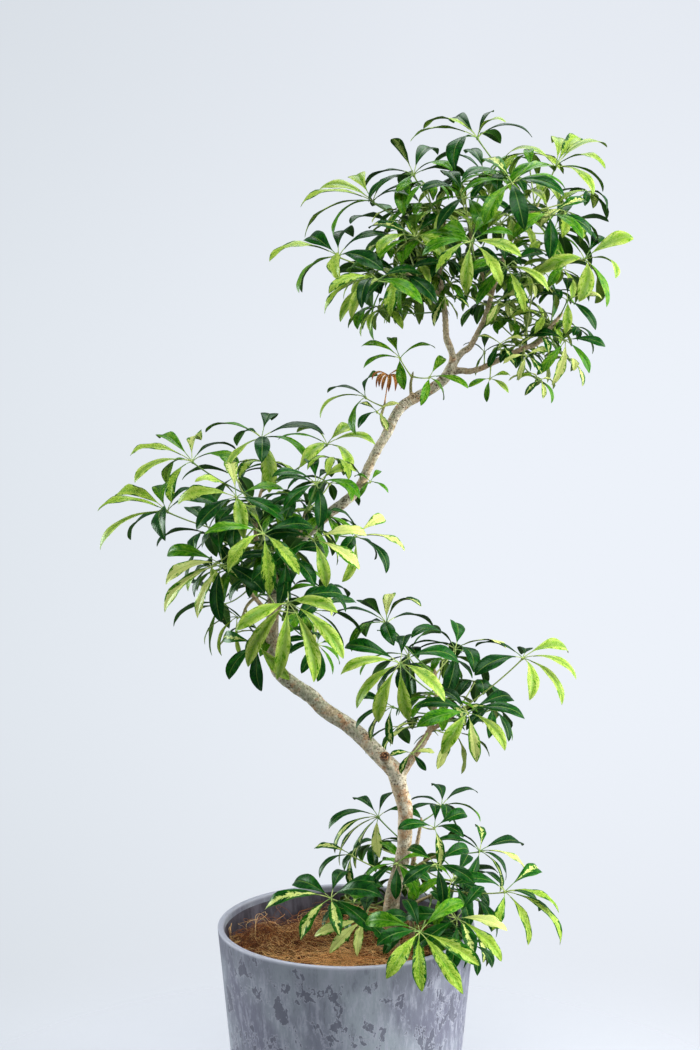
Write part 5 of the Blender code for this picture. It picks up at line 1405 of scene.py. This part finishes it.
        # The upper and under faces, and the blunt heel between them.
        count = len(columns)
        under = rows * count + np.arange(rows * (count - 2)).reshape(rows, count - 2)
        upper = np.arange(rows * count).reshape(rows, count)
        lower = np.hstack([upper[:, :1], under, upper[:, -1:]])
        last = len(points) - 1
        sheets = []
        for sheet, flip in ((upper, True), (lower, False)):
            a, b, c, d = sheet[:-1, :-1], sheet[:-1, 1:], sheet[1:, 1:], sheet[1:, :-1]
            quads = np.stack([a, b, c, d], -1).reshape(-1, 4)
            fan = np.stack([sheet[-1, :-1], sheet[-1, 1:], np.full(count - 1, last)], -1)
            sheets += [quads[:, ::-1] if flip else quads, fan[:, ::-1] if flip else fan]
        heel = np.stack([upper[0, :-1], upper[0, 1:], lower[0, 1:], lower[0, :-1]], -1)
        sheets.append(heel[1:-1])
        sheets.append(np.array([[upper[0, 0], upper[0, 1], lower[0, 1]], [upper[0, -2], upper[0, -1], lower[0, -2]]]))
        own = mesher.rng.random()
        across_of = np.concatenate([np.tile(columns, rows), np.tile(columns[1:-1], rows), [0.0]])
        along_of = np.concatenate([np.repeat(along[:-1], count), np.repeat(along[:-1], count - 2), [1.0]])
        place = np.stack([across_of, along_of, np.full(len(points), own)], 1)
        mesher.add(points, sheets, [1, 1, 2, 2, 2, 2], place, marks)
        line, _ = spine(np.linspace(0.01, base + 0.03, 6))
        dip = np.linspace(0, 1, 6)[:, None] * -0.0003 * axis
        radii = self.stalklet * (0.75 + 0.25 * min(1.0, span / 0.1)) * np.array([1.2, 1.0, 0.95, 0.95, 0.9, 0.55])
        mesher.tube(line + dip, radii, 6, own, np.linspace(0.6, 1.0, 6))


@dataclass
class Planter:
    """The round tapered planter with its soft lip."""

    height: float = 0.340
    mouth: float = 0.185
    foot: float = 0.153
    wall: float = 0.009
    floor: float = 0.012
    edge: float = 0.004
    sides: int = 192
    lip_rows: int = 7

    def inside(self, z: float) -> float:
        """Its inside radius at a height."""
        return self.foot + (self.mouth - self.foot) / self.height * z - self.wall

    def profile(self) -> tuple[Array, int]:
        """Its half section, from the middle of its underside over the lip to the middle of its floor.

        Returns:
            Pairs of radius and height, and the number of the first one on the inside.
        """
        slope = (self.mouth - self.foot) / self.height
        rows = [(0.0, 0.0), (0.06, 0.0), (0.12, 0.0)]
        for k in range(5):
            turn = math.pi / 2 * k / 4
            out, up = self.edge * math.sin(turn), self.edge * math.cos(turn)
            rows.append((self.foot - self.edge + out, self.edge - up))
        for z in np.linspace(0.016, self.height - 0.012, 18):
            rows.append((self.foot + slope * z, z))
        half = self.wall / 2
        middle, crown = self.mouth - half, self.height - 0.0032
        for k in range(self.lip_rows + 1):
            turn = math.pi * k / self.lip_rows
            bulge = math.copysign(abs(math.cos(turn)) ** 0.6, math.cos(turn))
            rows.append((middle + (half - 0.0003) * bulge, crown + 0.0031 * math.sin(turn) ** 0.7))
        inner = len(rows) - 1
        for z in np.linspace(self.height - 0.010, self.floor + 0.012, 14):
            rows.append((self.inside(z), z))
        rows.append((self.inside(self.floor) - self.edge, self.floor + self.edge / 2))
        rows += [(0.10, self.floor), (0.0, self.floor)]
        return np.array(rows), inner

    def build(self) -> Thing:
        """Turns the planter.

        Returns:
            The piece.
        """
        rows, inner = self.profile()
        turn, rim, split = turns(self.sides), rows[1:-1], inner * self.sides
        x, y = rim[:, 0, None] * np.cos(turn), rim[:, 0, None] * np.sin(turn)
        points = np.stack([x, y, np.broadcast_to(rim[:, 1, None], x.shape)], -1).reshape(-1, 3)
        points = np.vstack([points, [[0, 0, rows[0, 1]], [0, 0, rows[-1, 1]]]])
        quads = grid_faces(len(rim), self.sides, True)
        under = wheel(len(points) - 2, 0, self.sides)[:, [0, 2, 1]]
        bottom = wheel(len(points) - 1, (len(rim) - 1) * self.sides, self.sides)
        mesher = Mesher()
        mesher.add(points, [quads[:split], quads[split:], under, bottom], [0, 1, 0, 1])
        finishes = [StoneFinish().make(), InnerWallFinish().make()]
        return mesher.piece("planter", finishes, "pot_stone", ["pot"], math.radians(50))


@dataclass
class Filling:
    """What fills the planter: the soil, the matted bed of coconut fibre and its loose curly strands."""

    planter: Planter
    top: float = 0.299
    mound: float = 0.014
    dip: float = 0.0095
    base: float = 0.2883
    ball_at: tuple = (-0.122, 0.016)
    beside_at: tuple = (-0.072, 0.050)
    behind_at: tuple = (-0.01, 0.10)
    hollow_at: tuple = (-0.108, 0.100)
    bare_at: tuple = (-0.112, 0.092)
    rings: int = 56
    sides: int = 150
    wall_gap: float = 0.0012
    strands: int = 1500
    steps: int = 15
    scatter: float = 0.164
    limit: float = 0.1695
    seed: int = 11

    def surface(self, x: Array, y: Array) -> Array:
        """The height of the bed: a heap against the left wall, a dip behind it, and lumps.

        Args:
            x: Sideways places.
            y: Places away from the viewer.

        Returns:
            The heights.
        """
        lumps = np.sin(61 * x + 9) * np.cos(53 * y - 4) + 0.6 * np.sin(117 * x - 83 * y)
        lumps = lumps + 0.45 * np.sin(260 * x + 40 * y) * np.cos(230 * y - 60 * x)
        hollow = self.dip * bell(x, y, self.hollow_at, 0.0065)
        return np.maximum(self.top + self.mound * self.heaps(x, y) - hollow + 0.0019 * lumps, self.base + 0.0025)

    def heaps(self, x: Array, y: Array) -> Array:
        """How far the fibre is heaped up: a tight ball at the left wall, a lower one beside it, a rise behind.

        Args:
            x: Sideways places.
            y: Places away from the viewer.

        Returns:
            The shares of the full height.
        """
        ball, beside = bell(x, y, self.ball_at, 0.0007), bell(x, y, self.beside_at, 0.0012)
        return ball + 0.5 * beside + 0.35 * bell(x, y, self.behind_at, 0.005)

    def bed(self, finish: Material) -> Thing:
        """Makes the matted bed.

        Args:
            finish: Its material.

        Returns:
            The piece.
        """
        rings, sides = self.rings, self.sides
        rim = self.planter.inside(self.base) - self.wall_gap
        radius = rim * (np.arange(1, rings + 1) / rings) ** 0.75
        turn = turns(sides)
        x, y = radius[:, None] * np.cos(turn), radius[:, None] * np.sin(turn)
        z = self.surface(x, y) - 0.006 * (radius[:, None] / rim) ** 14
        rough = [noise.fractal(Vector((a * 210, b * 210, 3.0)), 0.8, 2.1, 4) for a, b in zip(x.ravel(), y.ravel())]
        z = z + 0.0020 * np.array(rough).reshape(z.shape)
        cloth = np.stack([x, y, z], -1).reshape(-1, 3)
        foot = cloth[-sides:] * (1, 1, 0) + (0, 0, self.base)
        points = np.vstack([cloth, foot, [[0, 0, float(self.surface(0.0, 0.0))], [0, 0, self.base]]])
        middle = wheel(len(points) - 2, 0, sides)
        under = wheel(len(points) - 1, rings * sides, sides)[:, [0, 2, 1]]
        mesher = Mesher()
        mesher.add(points, [grid_faces(rings + 1, sides, True)[:, ::-1], middle, under], [0] * 3)
        return mesher.piece("coir_bed", [finish], "coir", ["coir_mulch"])

    def strands_piece(self, name: str, finish: Material, rng: Random, share: float) -> Thing:
        """Makes loose strands that lie on the bed, thicker over the mound.

        Args:
            name: The piece's name.
            finish: Its material.
            rng: Seeded random numbers.
            share: The share of them that gathers on the mound.

        Returns:
            The piece.
        """
        count, steps = self.strands, self.steps
        # Where each strand lies: spread over the bed, or gathered on the ball and beside it.
        heap = rng.random(count) < share
        turn, far = rng.uniform(0, math.tau, count), np.sqrt(rng.random(count)) * self.scatter
        x, y = far * np.cos(turn), far * np.sin(turn)
        bare = 1.4 * bell(x, y, self.bare_at, 0.0050) > rng.random(count)
        x, y = np.where(bare, 0.4 * x + 0.03, x), np.where(bare, 0.6 * y - 0.12, y)
        second = rng.random(count) < 0.3
        x = np.where(heap, np.where(second, -0.072, -0.122) + 0.012 * rng.standard_normal(count), x)
        y = np.where(heap, np.where(second, 0.046, 0.012) + 0.013 * rng.standard_normal(count), y)
        # How it curls.
        length = rng.uniform(0.030, 0.120, count) * (1 - 0.25 * heap)
        heading = rng.uniform(0, math.tau, count)
        bend = np.where(heap, rng.uniform(45, 105, count), rng.uniform(8, 70, count)) * rng.choice((-1, 1), count)
        wobble, pace = rng.uniform(0.1, 0.7, count), rng.uniform(90, 260, count)
        s = np.linspace(-0.5, 0.5, steps)[None] * length[:, None]
        angle = heading[:, None] + bend[:, None] * s + wobble[:, None] * np.sin(pace[:, None] * s)
        step = length[:, None] / (steps - 1)
        px = x[:, None] + np.cumsum(np.cos(angle) * step, 1) - 0.5 * np.cos(heading)[:, None] * length[:, None]
        py = y[:, None] + np.cumsum(np.sin(angle) * step, 1) - 0.5 * np.sin(heading)[:, None] * length[:, None]
        reach = np.hypot(px, py)
        inward = np.minimum(1.0, self.limit / np.maximum(reach, 1e-9))
        px, py = px * inward, py * inward
        # How high it lies, and how it arches.
        lift = rng.gamma(1.2, 0.0013, count)
        loose = 0.020 * rng.random(count)[:, None] ** 0.8 * self.heaps(px, py)
        high = (rng.beta(1.0, 3.0, count) * (0.14 + 0.10 * heap) + 0.30 * heap * (rng.random(count) < 0.08)) * length
        arch = np.sin(np.pi * np.linspace(0, 1, steps))[None] * high[:, None]
        tilt = rng.normal(0, 0.15, count)[:, None] * s
        pz = self.surface(px, py) + lift[:, None] + loose + arch + np.abs(tilt) + 0.0004
        # Its three-sided skin.
        line = np.stack([px, py, pz], -1)
        ahead = unit(np.gradient(line, axis=1))
        side = unit(np.cross(ahead, (0.02, 0.01, 1.0)))
        up = np.cross(side, ahead)
        girth = rng.uniform(0.00016, 0.00034, count)[:, None] * np.sin(np.linspace(0.35, math.pi - 0.35, steps)) ** 0.5
        corners = turns(3)[:, None]
        ring = np.cos(corners) * side[:, :, None] + np.sin(corners) * up[:, :, None]
        points = (line[:, :, None] + ring * girth[:, :, None, None]).reshape(-1, 3)
        # Painted light and shade: strands at the front are made paler and those in the heap at the left darker, on top
        # of each strand's own random shade.
        own = rng.random(count) ** np.where(y < -0.016, 0.6, 1.2 + 3.2 * heap * (x < -0.085))
        along = np.tile(np.repeat(np.linspace(0, 1, steps), 3), count)
        place = np.stack([np.repeat(own, steps * 3), along, np.zeros(len(points))], 1)
        walls = grid_faces(steps, 3, True)[:, ::-1]
        starts = (np.arange(count) * steps * 3)[:, None, None]
        ends = np.array([[0, 1, 2], [(steps - 1) * 3 + 2, (steps - 1) * 3 + 1, (steps - 1) * 3]])
        mesher = Mesher()
        faces = [(walls[None] + starts).reshape(-1, 4), (ends[None] + starts).reshape(-1, 3)]
        mesher.add(points, faces, [0, 0], place)
        return mesher.piece(name, [finish], "coir", [])

    def build(self, soil: Thing) -> None:
        """Dresses the soil and makes the bed and its strands.

        Args:
            soil: The packed soil node, which is kept.
        """
        soil.data.materials.clear()
        soil.data.materials.append(SoilFinish().make())
        self.bed(FibreFinish(bed=True).make())
        rng = np.random.default_rng(self.seed)
        finish = FibreFinish().make()
        self.strands_piece("coir_strands_spread", finish, rng, 0.30)
        self.strands_piece("coir_strands_heaped", finish, rng, 0.55)


@dataclass
class Trunk:
    """The bent bare trunk, its forks and its two cut stubs, grown into one skin."""

    voxel: float = 0.0015
    spacing: float = 0.0012
    sides: int = 20
    collar: float = 0.30
    ring_gap: float = 1.15
    ring_width: float = 0.10
    ring_height: float = 0.00016
    lump_height: float = 0.00062
    pore_height: float = 0.00014
    cut_reach: float = 0.0088
    seed: int = 5
    lines: list[tuple[Array, Array]] = field(default_factory=list)

    def routes(self) -> None:
        """Works out the centre lines and radii of the trunk, its forks and its stubs."""
        points, radii = placed(TRUNK_ROUTE)
        foot = seen(*TRUNK_FOOT[:3])
        points = [foot, Vector((foot.x, foot.y, COIR_TOP)), *points[1:]]
        radii = [TRUNK_FOOT[3] / 100, *radii]
        line, sizes = smoothed(points, radii, self.spacing)
        gone = np.arange(len(line)) * self.spacing
        sizes = sizes * (1 + 0.014 * np.sin(gone * 150) + 0.012 * np.sin(gone * 390 + 1))
        sizes = sizes * (1 + 0.28 * np.exp(-np.maximum(line[:, 2] - COIR_TOP, 0) / 0.012))
        self.lines = [(line, sizes)]
        for fork in (*FORKS.values(), PRUNED_STUB, BASE_STUB):
            line, sizes = smoothed(*placed(fork), self.spacing)
            gone = np.arange(len(line)) * self.spacing
            self.lines.append((line, sizes * (1 + self.collar * np.exp(-gone / 0.010))))

    def skin(self) -> tuple[Array, Array]:
        """One closed even mesh around all the lines.

        Returns:
            Its points and quads.
        """
        mesher = Mesher()
        for line, sizes in self.lines:
            mesher.tube(line, sizes, self.sides)
        mesh = bpy.data.meshes.new("rough_trunk")
        faces = [tuple(row) for group in mesher.faces for row in group.tolist()]
        mesh.from_pydata(np.vstack(mesher.points).tolist(), [], faces)
        rough = bpy.data.objects.new("rough_trunk", mesh)
        bpy.context.scene.collection.objects.link(rough)
        grow = rough.modifiers.new("skin", "REMESH")
        grow.mode = "VOXEL"
        grow.voxel_size = self.voxel
        ease = rough.modifiers.new("ease", "SMOOTH")
        ease.factor = 0.5
        ease.iterations = 6
        even = rough.evaluated_get(bpy.context.evaluated_depsgraph_get()).to_mesh()
        points = np.empty(len(even.vertices) * 3)
        even.vertices.foreach_get("co", points)
        corners = np.empty(len(even.loops), int)
        even.loops.foreach_get("vertex_index", corners)
        bpy.data.objects.remove(rough, do_unlink=True)
        return points.reshape(-1, 3), corners.reshape(-1, 4)

    def build(self, finish: Material) -> Thing:
        """Grows the skin, raises its rings, knots and pores, and dresses it.

        Args:
            finish: Its material.

        Returns:
            The piece.
        """
        self.routes()
        points, quads = self.skin()
        spine = np.vstack([line for line, _ in self.lines])
        sizes = np.concatenate([size for _, size in self.lines])
        gone = np.concatenate([0.12 * np.arange(len(line)) + 37 * i for i, (line, _) in enumerate(self.lines)])
        pieces = np.array_split(points, len(points) // 1500)
        near = np.concatenate([((part[:, None] - spine[None]) ** 2).sum(-1).argmin(1) for part in pieces])
        out = unit(points - spine[near])
        rng = np.random.default_rng(self.seed)
        rings = np.sort(rng.uniform(0, gone.max(), int(gone.max() / self.ring_gap)))
        slant = points @ np.array([38.0, 22.0, 0.0]) * 0.05
        where = gone[near] + slant
        raised = np.zeros(len(points))
        for ring in rings:
            raised += rng.uniform(0.4, 1.0) * np.exp(-(((where - ring) / self.ring_width) ** 2))
        lumps = np.array([noise.fractal(Vector(p) * 70, 0.8, 2.1, 4) for p in points])
        pits = np.array([noise.noise(Vector(p) * 520) for p in points])
        height = self.ring_height * np.minimum(raised, 1.2) + self.lump_height * lumps + self.pore_height * pits
        points = points + out * (height * np.minimum(1, sizes[near] / 0.006))[:, None]
        place = np.stack([out[:, 0], out[:, 1], gone[near]], 1)
        cut_at = [np.array(seen(*stub[-1][:3])) for stub in (PRUNED_STUB, BASE_STUB)]
        cut = sum(np.exp(-((np.linalg.norm(points - end, axis=1) / self.cut_reach) ** 6)) for end in cut_at)
        trait = np.stack([sizes[near] * 100, np.minimum(raised, 1), np.minimum(cut, 1)], 1)
        mesher = Mesher()
        mesher.add(points, [quads], [0], place, trait)
        return mesher.piece("trunk_bark", [finish], "bark", ["trunk"])


@dataclass
class LeafySpray:
    """A leafy shoot: thin ringed stems with their buds, and the leaves along them."""

    name: str
    seed: int
    more: int = 0
    reach: float = 0.07
    tones: str = "g"
    shape: LeafShape = field(default_factory=LeafShape)
    inner: LeafShape = field(default_factory=lambda: LeafShape(stations=INNER_STATIONS, columns=INNER_COLUMNS))
    spacing: float = 0.0011
    sides: int = 10
    bud_at: tuple = (0.0016, 0.0034, 0.0052, 0.0066)
    bud_girth: tuple = (1.05, 0.82, 0.48, 0.10)
    scar_gap: tuple = (0.006, 0.013)
    scar_width: float = 0.0011
    tries: int = 240
    fill_within: float = 0.80

    def stems(self) -> tuple[list[Route], list[tuple[Array, Array]]]:
        """The stems' routes, and their smooth lines with radii.

        Returns:
            The routes and the lines.
        """
        if self.name == "base_shoot":
            first, radii = placed(BASE_SHOOT[0])
            foot, radius = seen(*BASE_SHOOT_FOOT[:3]), BASE_SHOOT_FOOT[3] / 100
            first = [foot, Vector((foot.x, foot.y, COIR_TOP + 0.012)), *first]
            routes = [(first, [radius, radius, *radii])] + [placed(route) for route in BASE_SHOOT[1:]]
            joined = routes[0]
        else:
            routes = [placed(route) for route in SHOOTS[self.name]]
            fork, sizes = placed(FORKS[self.name])
            joined = ([fork[-2].lerp(fork[-1], 0.55), *routes[0][0]], [sizes[-1] * 0.97, *routes[0][1]])
        return [points for points, _ in routes], [smoothed(*route, self.spacing) for route in (joined, *routes[1:])]

    def ringed(self, mesher: Mesher, line: Array, sizes: Array) -> None:
        """Adds one stem with leaf scars and a pointed bud at its end.

        Args:
            mesher: Where it goes.
            line: Its centre line.
            sizes: Its radius at each point.
        """
        rng, bud = mesher.rng, np.array(self.bud_at)
        gone = self.spacing * np.arange(len(line))
        scars = np.cumsum(rng.uniform(*self.scar_gap, 80))
        scars = scars[scars < gone[-1]]
        swell = sum(rng.uniform(0.5, 1.0) * np.exp(-(((gone - at) / self.scar_width) ** 2)) for at in scars)
        sizes = sizes * (1 + 0.13 * swell + 0.03 * np.sin(gone * 900))
        line = np.vstack([line, line[-1] + bud[:, None] * unit(line[-1] - line[-3])])
        sizes = np.concatenate([sizes, sizes[-1] * np.array(self.bud_girth)])
        share = np.concatenate([gone, gone[-1] + bud]) * 100
        girth = (sizes + np.median(sizes)) * 50
        mesher.tube(line, sizes, self.sides, 0.0, share, np.outer(girth, (1, 0, 0)))

    def thicken(self, mesher: Mesher, along: Array, wood: Array) -> None:
        """Adds leaves in the widest gaps between the ones that are there.

        Args:
            mesher: Where they go.
            along: Points on the stems.
            wood: Points inside the trunk.
        """
        rng = mesher.rng
        low, high = (np.array(corner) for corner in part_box(self.name))
        room = ((low + high) / 2, (high - low) / 2)
        taken = [np.array(seen(*row[0])) for row in LEAVES[self.name]]
        for _ in range(self.more):
            stem = along[rng.integers(len(along) // 8, len(along), self.tries)]
            way = unit(rng.normal(size=(self.tries, 3)) + (0, 0.15, 0.7))
            hub = stem + way * rng.uniform(0.03, 0.09, (self.tries, 1))
            inside = (((hub - room[0]) / (room[1] * self.fill_within)) ** 2).sum(1) < 1
            inside &= hub[:, 1] > room[0][1] - 0.1 * room[1][1]
            clear = np.array([np.linalg.norm(wood - p, axis=1).min() > 0.022 for p in hub])
            apart = np.min([np.linalg.norm(hub - other, axis=1) for other in taken], axis=0)
            best = np.where(inside & clear, apart, -1.0).argmax()
            taken.append(hub[best])
            reach = self.reach * rng.uniform(0.8, 1.15)
            self.inner.fill(mesher, hub[best], stem[best], reach, room, wood, self.tones)

    def build(self, bark: Material, leaf: list[Material], wood: Array) -> None:
        """Makes the stems' piece and the leaves' piece.

        Args:
            bark: The stems' material.
            leaf: The materials of leaf stalks, upper faces and under faces.
            wood: Points inside the trunk, for leaves to keep clear of.
        """
        rng = np.random.default_rng(self.seed)
        routes, lines = self.stems()
        brown, green = Mesher(rng), Mesher(rng)
        for line, sizes in lines:
            self.ringed(brown, line, sizes)
        along = np.vstack([line for line, _ in lines])
        for hub, root, reach, tones, tips in LEAVES[self.name]:
            at = nearest(routes, seen(*root))
            stem = along[((along - np.array(at)) ** 2).sum(1).argmin()]
            self.shape.grow(green, hub, at, stem, reach, tips, tones)
        self.thicken(green, along, wood)
        brown.piece(self.name + "_stems", [bark], "bark", [self.name])
        green.piece(self.name + "_leaves", leaf, "leaf", [self.name], math.radians(55))


@dataclass
class WitheredBunch:
    """The small bunch of dried brown leaves that hangs from the upper trunk shoot."""

    shape: LeafShape = field(
        default_factory=lambda: LeafShape(half_width=0.125, arch=0.55, fold=0.7, cup=0.05, petiole=0.0009)
    )
    seed: int = 3

    def build(self, finish: Material) -> Thing:
        """Makes the bunch.

        Args:
            finish: Its material.

        Returns:
            The piece.
        """
        route = SHOOTS["upper_trunk_shoot"][0]
        tip, before = seen(*route[-1][:3]), seen(*route[-2][:3])
        start = tip + (tip - before).normalized() * 0.0006
        mesher = Mesher(np.random.default_rng(self.seed))
        self.shape.grow(mesher, BROWN_HUB, start, np.array(tip), BROWN_REACH, BROWN_TIPS, "p")
        return mesher.piece("brown_leaves", [finish] * 3, "young_leaf", ["brown_leaf_bunch"], math.radians(55))


@dataclass
class Studio:
    """The plain pale floor, the soft light and the camera."""

    floor_radius: float = 1.05
    floor_rings: int = 12
    floor_sides: int = 64
    eye: tuple = (0.0054, -2.648, 1.235)
    pitch: float = 6.85
    lens: float = 65.14
    sensor: float = 36.0
    ambient: float = 0.24
    right: float = 0.62
    left_air: Colour = screen(225, 231, 238)
    right_air: Colour = screen(237, 242, 250)

    def floor(self) -> None:
        """Lays the floor, a shade under the planter's foot."""
        count, sides = self.floor_rings, self.floor_sides
        rings = np.linspace(0.1, self.floor_radius, count)
        turn = turns(sides)
        x, y = rings[:, None] * np.cos(turn), rings[:, None] * np.sin(turn)
        points = np.vstack([np.stack([x, y, np.zeros_like(x)], -1).reshape(-1, 3), [[0, 0, 0]]])
        middle = wheel(len(points) - 1, 0, sides)
        mesh = bpy.data.meshes.new("studio_floor")
        mesh.from_pydata(points.tolist(), [], grid_faces(count, sides, True)[:, ::-1].tolist() + middle.tolist())
        made = bpy.data.objects.new("studio_floor", mesh)
        bpy.context.scene.collection.objects.link(made)
        made.location.z = -0.0004
        mesh.materials.append(BackdropFinish().make())

    def light(
        self, name: str, place: tuple, aim: tuple, size: tuple, power: float, tint: Colour, gloss: bool = True
    ) -> None:
        """Hangs one soft light panel.

        Args:
            name: Its name.
            place: Where it hangs.
            aim: What it points at.
            size: Its width and height.
            power: Its power in watts.
            tint: Its colour.
            gloss: Whether glossy surfaces mirror it.
        """
        lamp = bpy.data.lights.new(name, "AREA")
        lamp.shape = "RECTANGLE"
        lamp.size, lamp.size_y = size
        lamp.energy = power
        lamp.color = tint
        made = bpy.data.objects.new(name, lamp)
        made.location = place
        made.rotation_euler = (Vector(aim) - Vector(place)).to_track_quat("-Z", "Y").to_euler()
        made.visible_glossy = gloss
        bpy.context.scene.collection.objects.link(made)

    def sky(self) -> None:
        """Fills the studio with even pale light."""
        g = Graph("studio", True)
        x, _, z = g.axes(g.node("TexCoord").outputs["Generated"])
        tint = g.mix(g.step(x, -0.18, 0.05, ease="LINEAR"), self.left_air, self.right_air)
        level = g.step(x, 0.0, 1.0, self.ambient, self.right, "LINEAR")
        seen_level = g.step(g.math("ABSOLUTE", g.plus(z, 0.12)), 0.06, 0.30, 1.0, 0.925)
        in_view = g.node("LightPath").outputs["Is Camera Ray"]
        strength = g.step(in_view, 0.0, 1.0, level, seen_level, "LINEAR")
        bpy.context.scene.world = g.finish(color=tint, strength=strength)

    def camera(self) -> None:
        """Sets the camera where the photograph was taken from."""
        lens = bpy.data.cameras.new("view")
        lens.lens, lens.sensor_width, lens.sensor_fit = self.lens, self.sensor, "AUTO"
        made = bpy.data.objects.new("view", lens)
        made.location = self.eye
        made.rotation_euler = (math.radians(90 - self.pitch), 0, 0)
        bpy.context.scene.collection.objects.link(made)
        bpy.context.scene.camera = made

    def build(self) -> None:
        """Sets up the whole studio."""
        self.floor()
        self.sky()
        self.light("key", (3.1, -0.1, 1.8), (0, 0, 0.7), (2.6, 2.6), 80.0, (1.0, 0.99, 0.98))
        self.light("key_wash", (3.1, -0.1, 1.8), (0, 0, 0.7), (2.6, 2.6), 200.0, (1.0, 0.99, 0.98), False)
        self.light("left", (-2.8, 0.9, 1.3), (0, 0, 0.6), (1.5, 1.5), 92.0, (0.96, 0.98, 1.0))
        self.light("behind", (0.3, 1.5, 3.2), (0, 0, 0.9), (1.8, 1.4), 22.0, (0.96, 0.98, 1.0))
        self.light("over", (0.2, -1.3, 3.5), (0, 0, 0.9), (1.8, 1.8), 58.0, (0.99, 0.99, 1.0))
        self.light("front", (-0.4, -3.4, 2.0), (0, 0, 0.8), (2.0, 2.0), 14.0, (1.0, 1.0, 1.0))
        self.camera()
        bpy.context.scene.view_settings.view_transform = "Standard"


def main() -> None:
    """Builds the plant, its planter and the studio."""
    logging.basicConfig(level=logging.INFO, format="%(message)s")
    planter = Planter()
    planter.build()
    Filling(planter).build(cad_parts["soil"])
    bark = BarkFinish().make()
    trunk = Trunk()
    trunk.build(bark)
    wood = np.vstack([line[::4] for line, _ in trunk.lines])
    leaf = [StalkFinish().make(), LeafFinish(Face.UPPER).make(), LeafFinish(Face.UNDER).make()]
    for number, name in enumerate((*SHOOTS, "base_shoot")):
        LeafySpray(name, 100 + number, *FULLNESS.get(name, ())).build(bark, leaf, wood)
    WitheredBunch().build(WitheredFinish().make())
    Studio().build()
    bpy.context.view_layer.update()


if __name__ == "__main__":
    main()
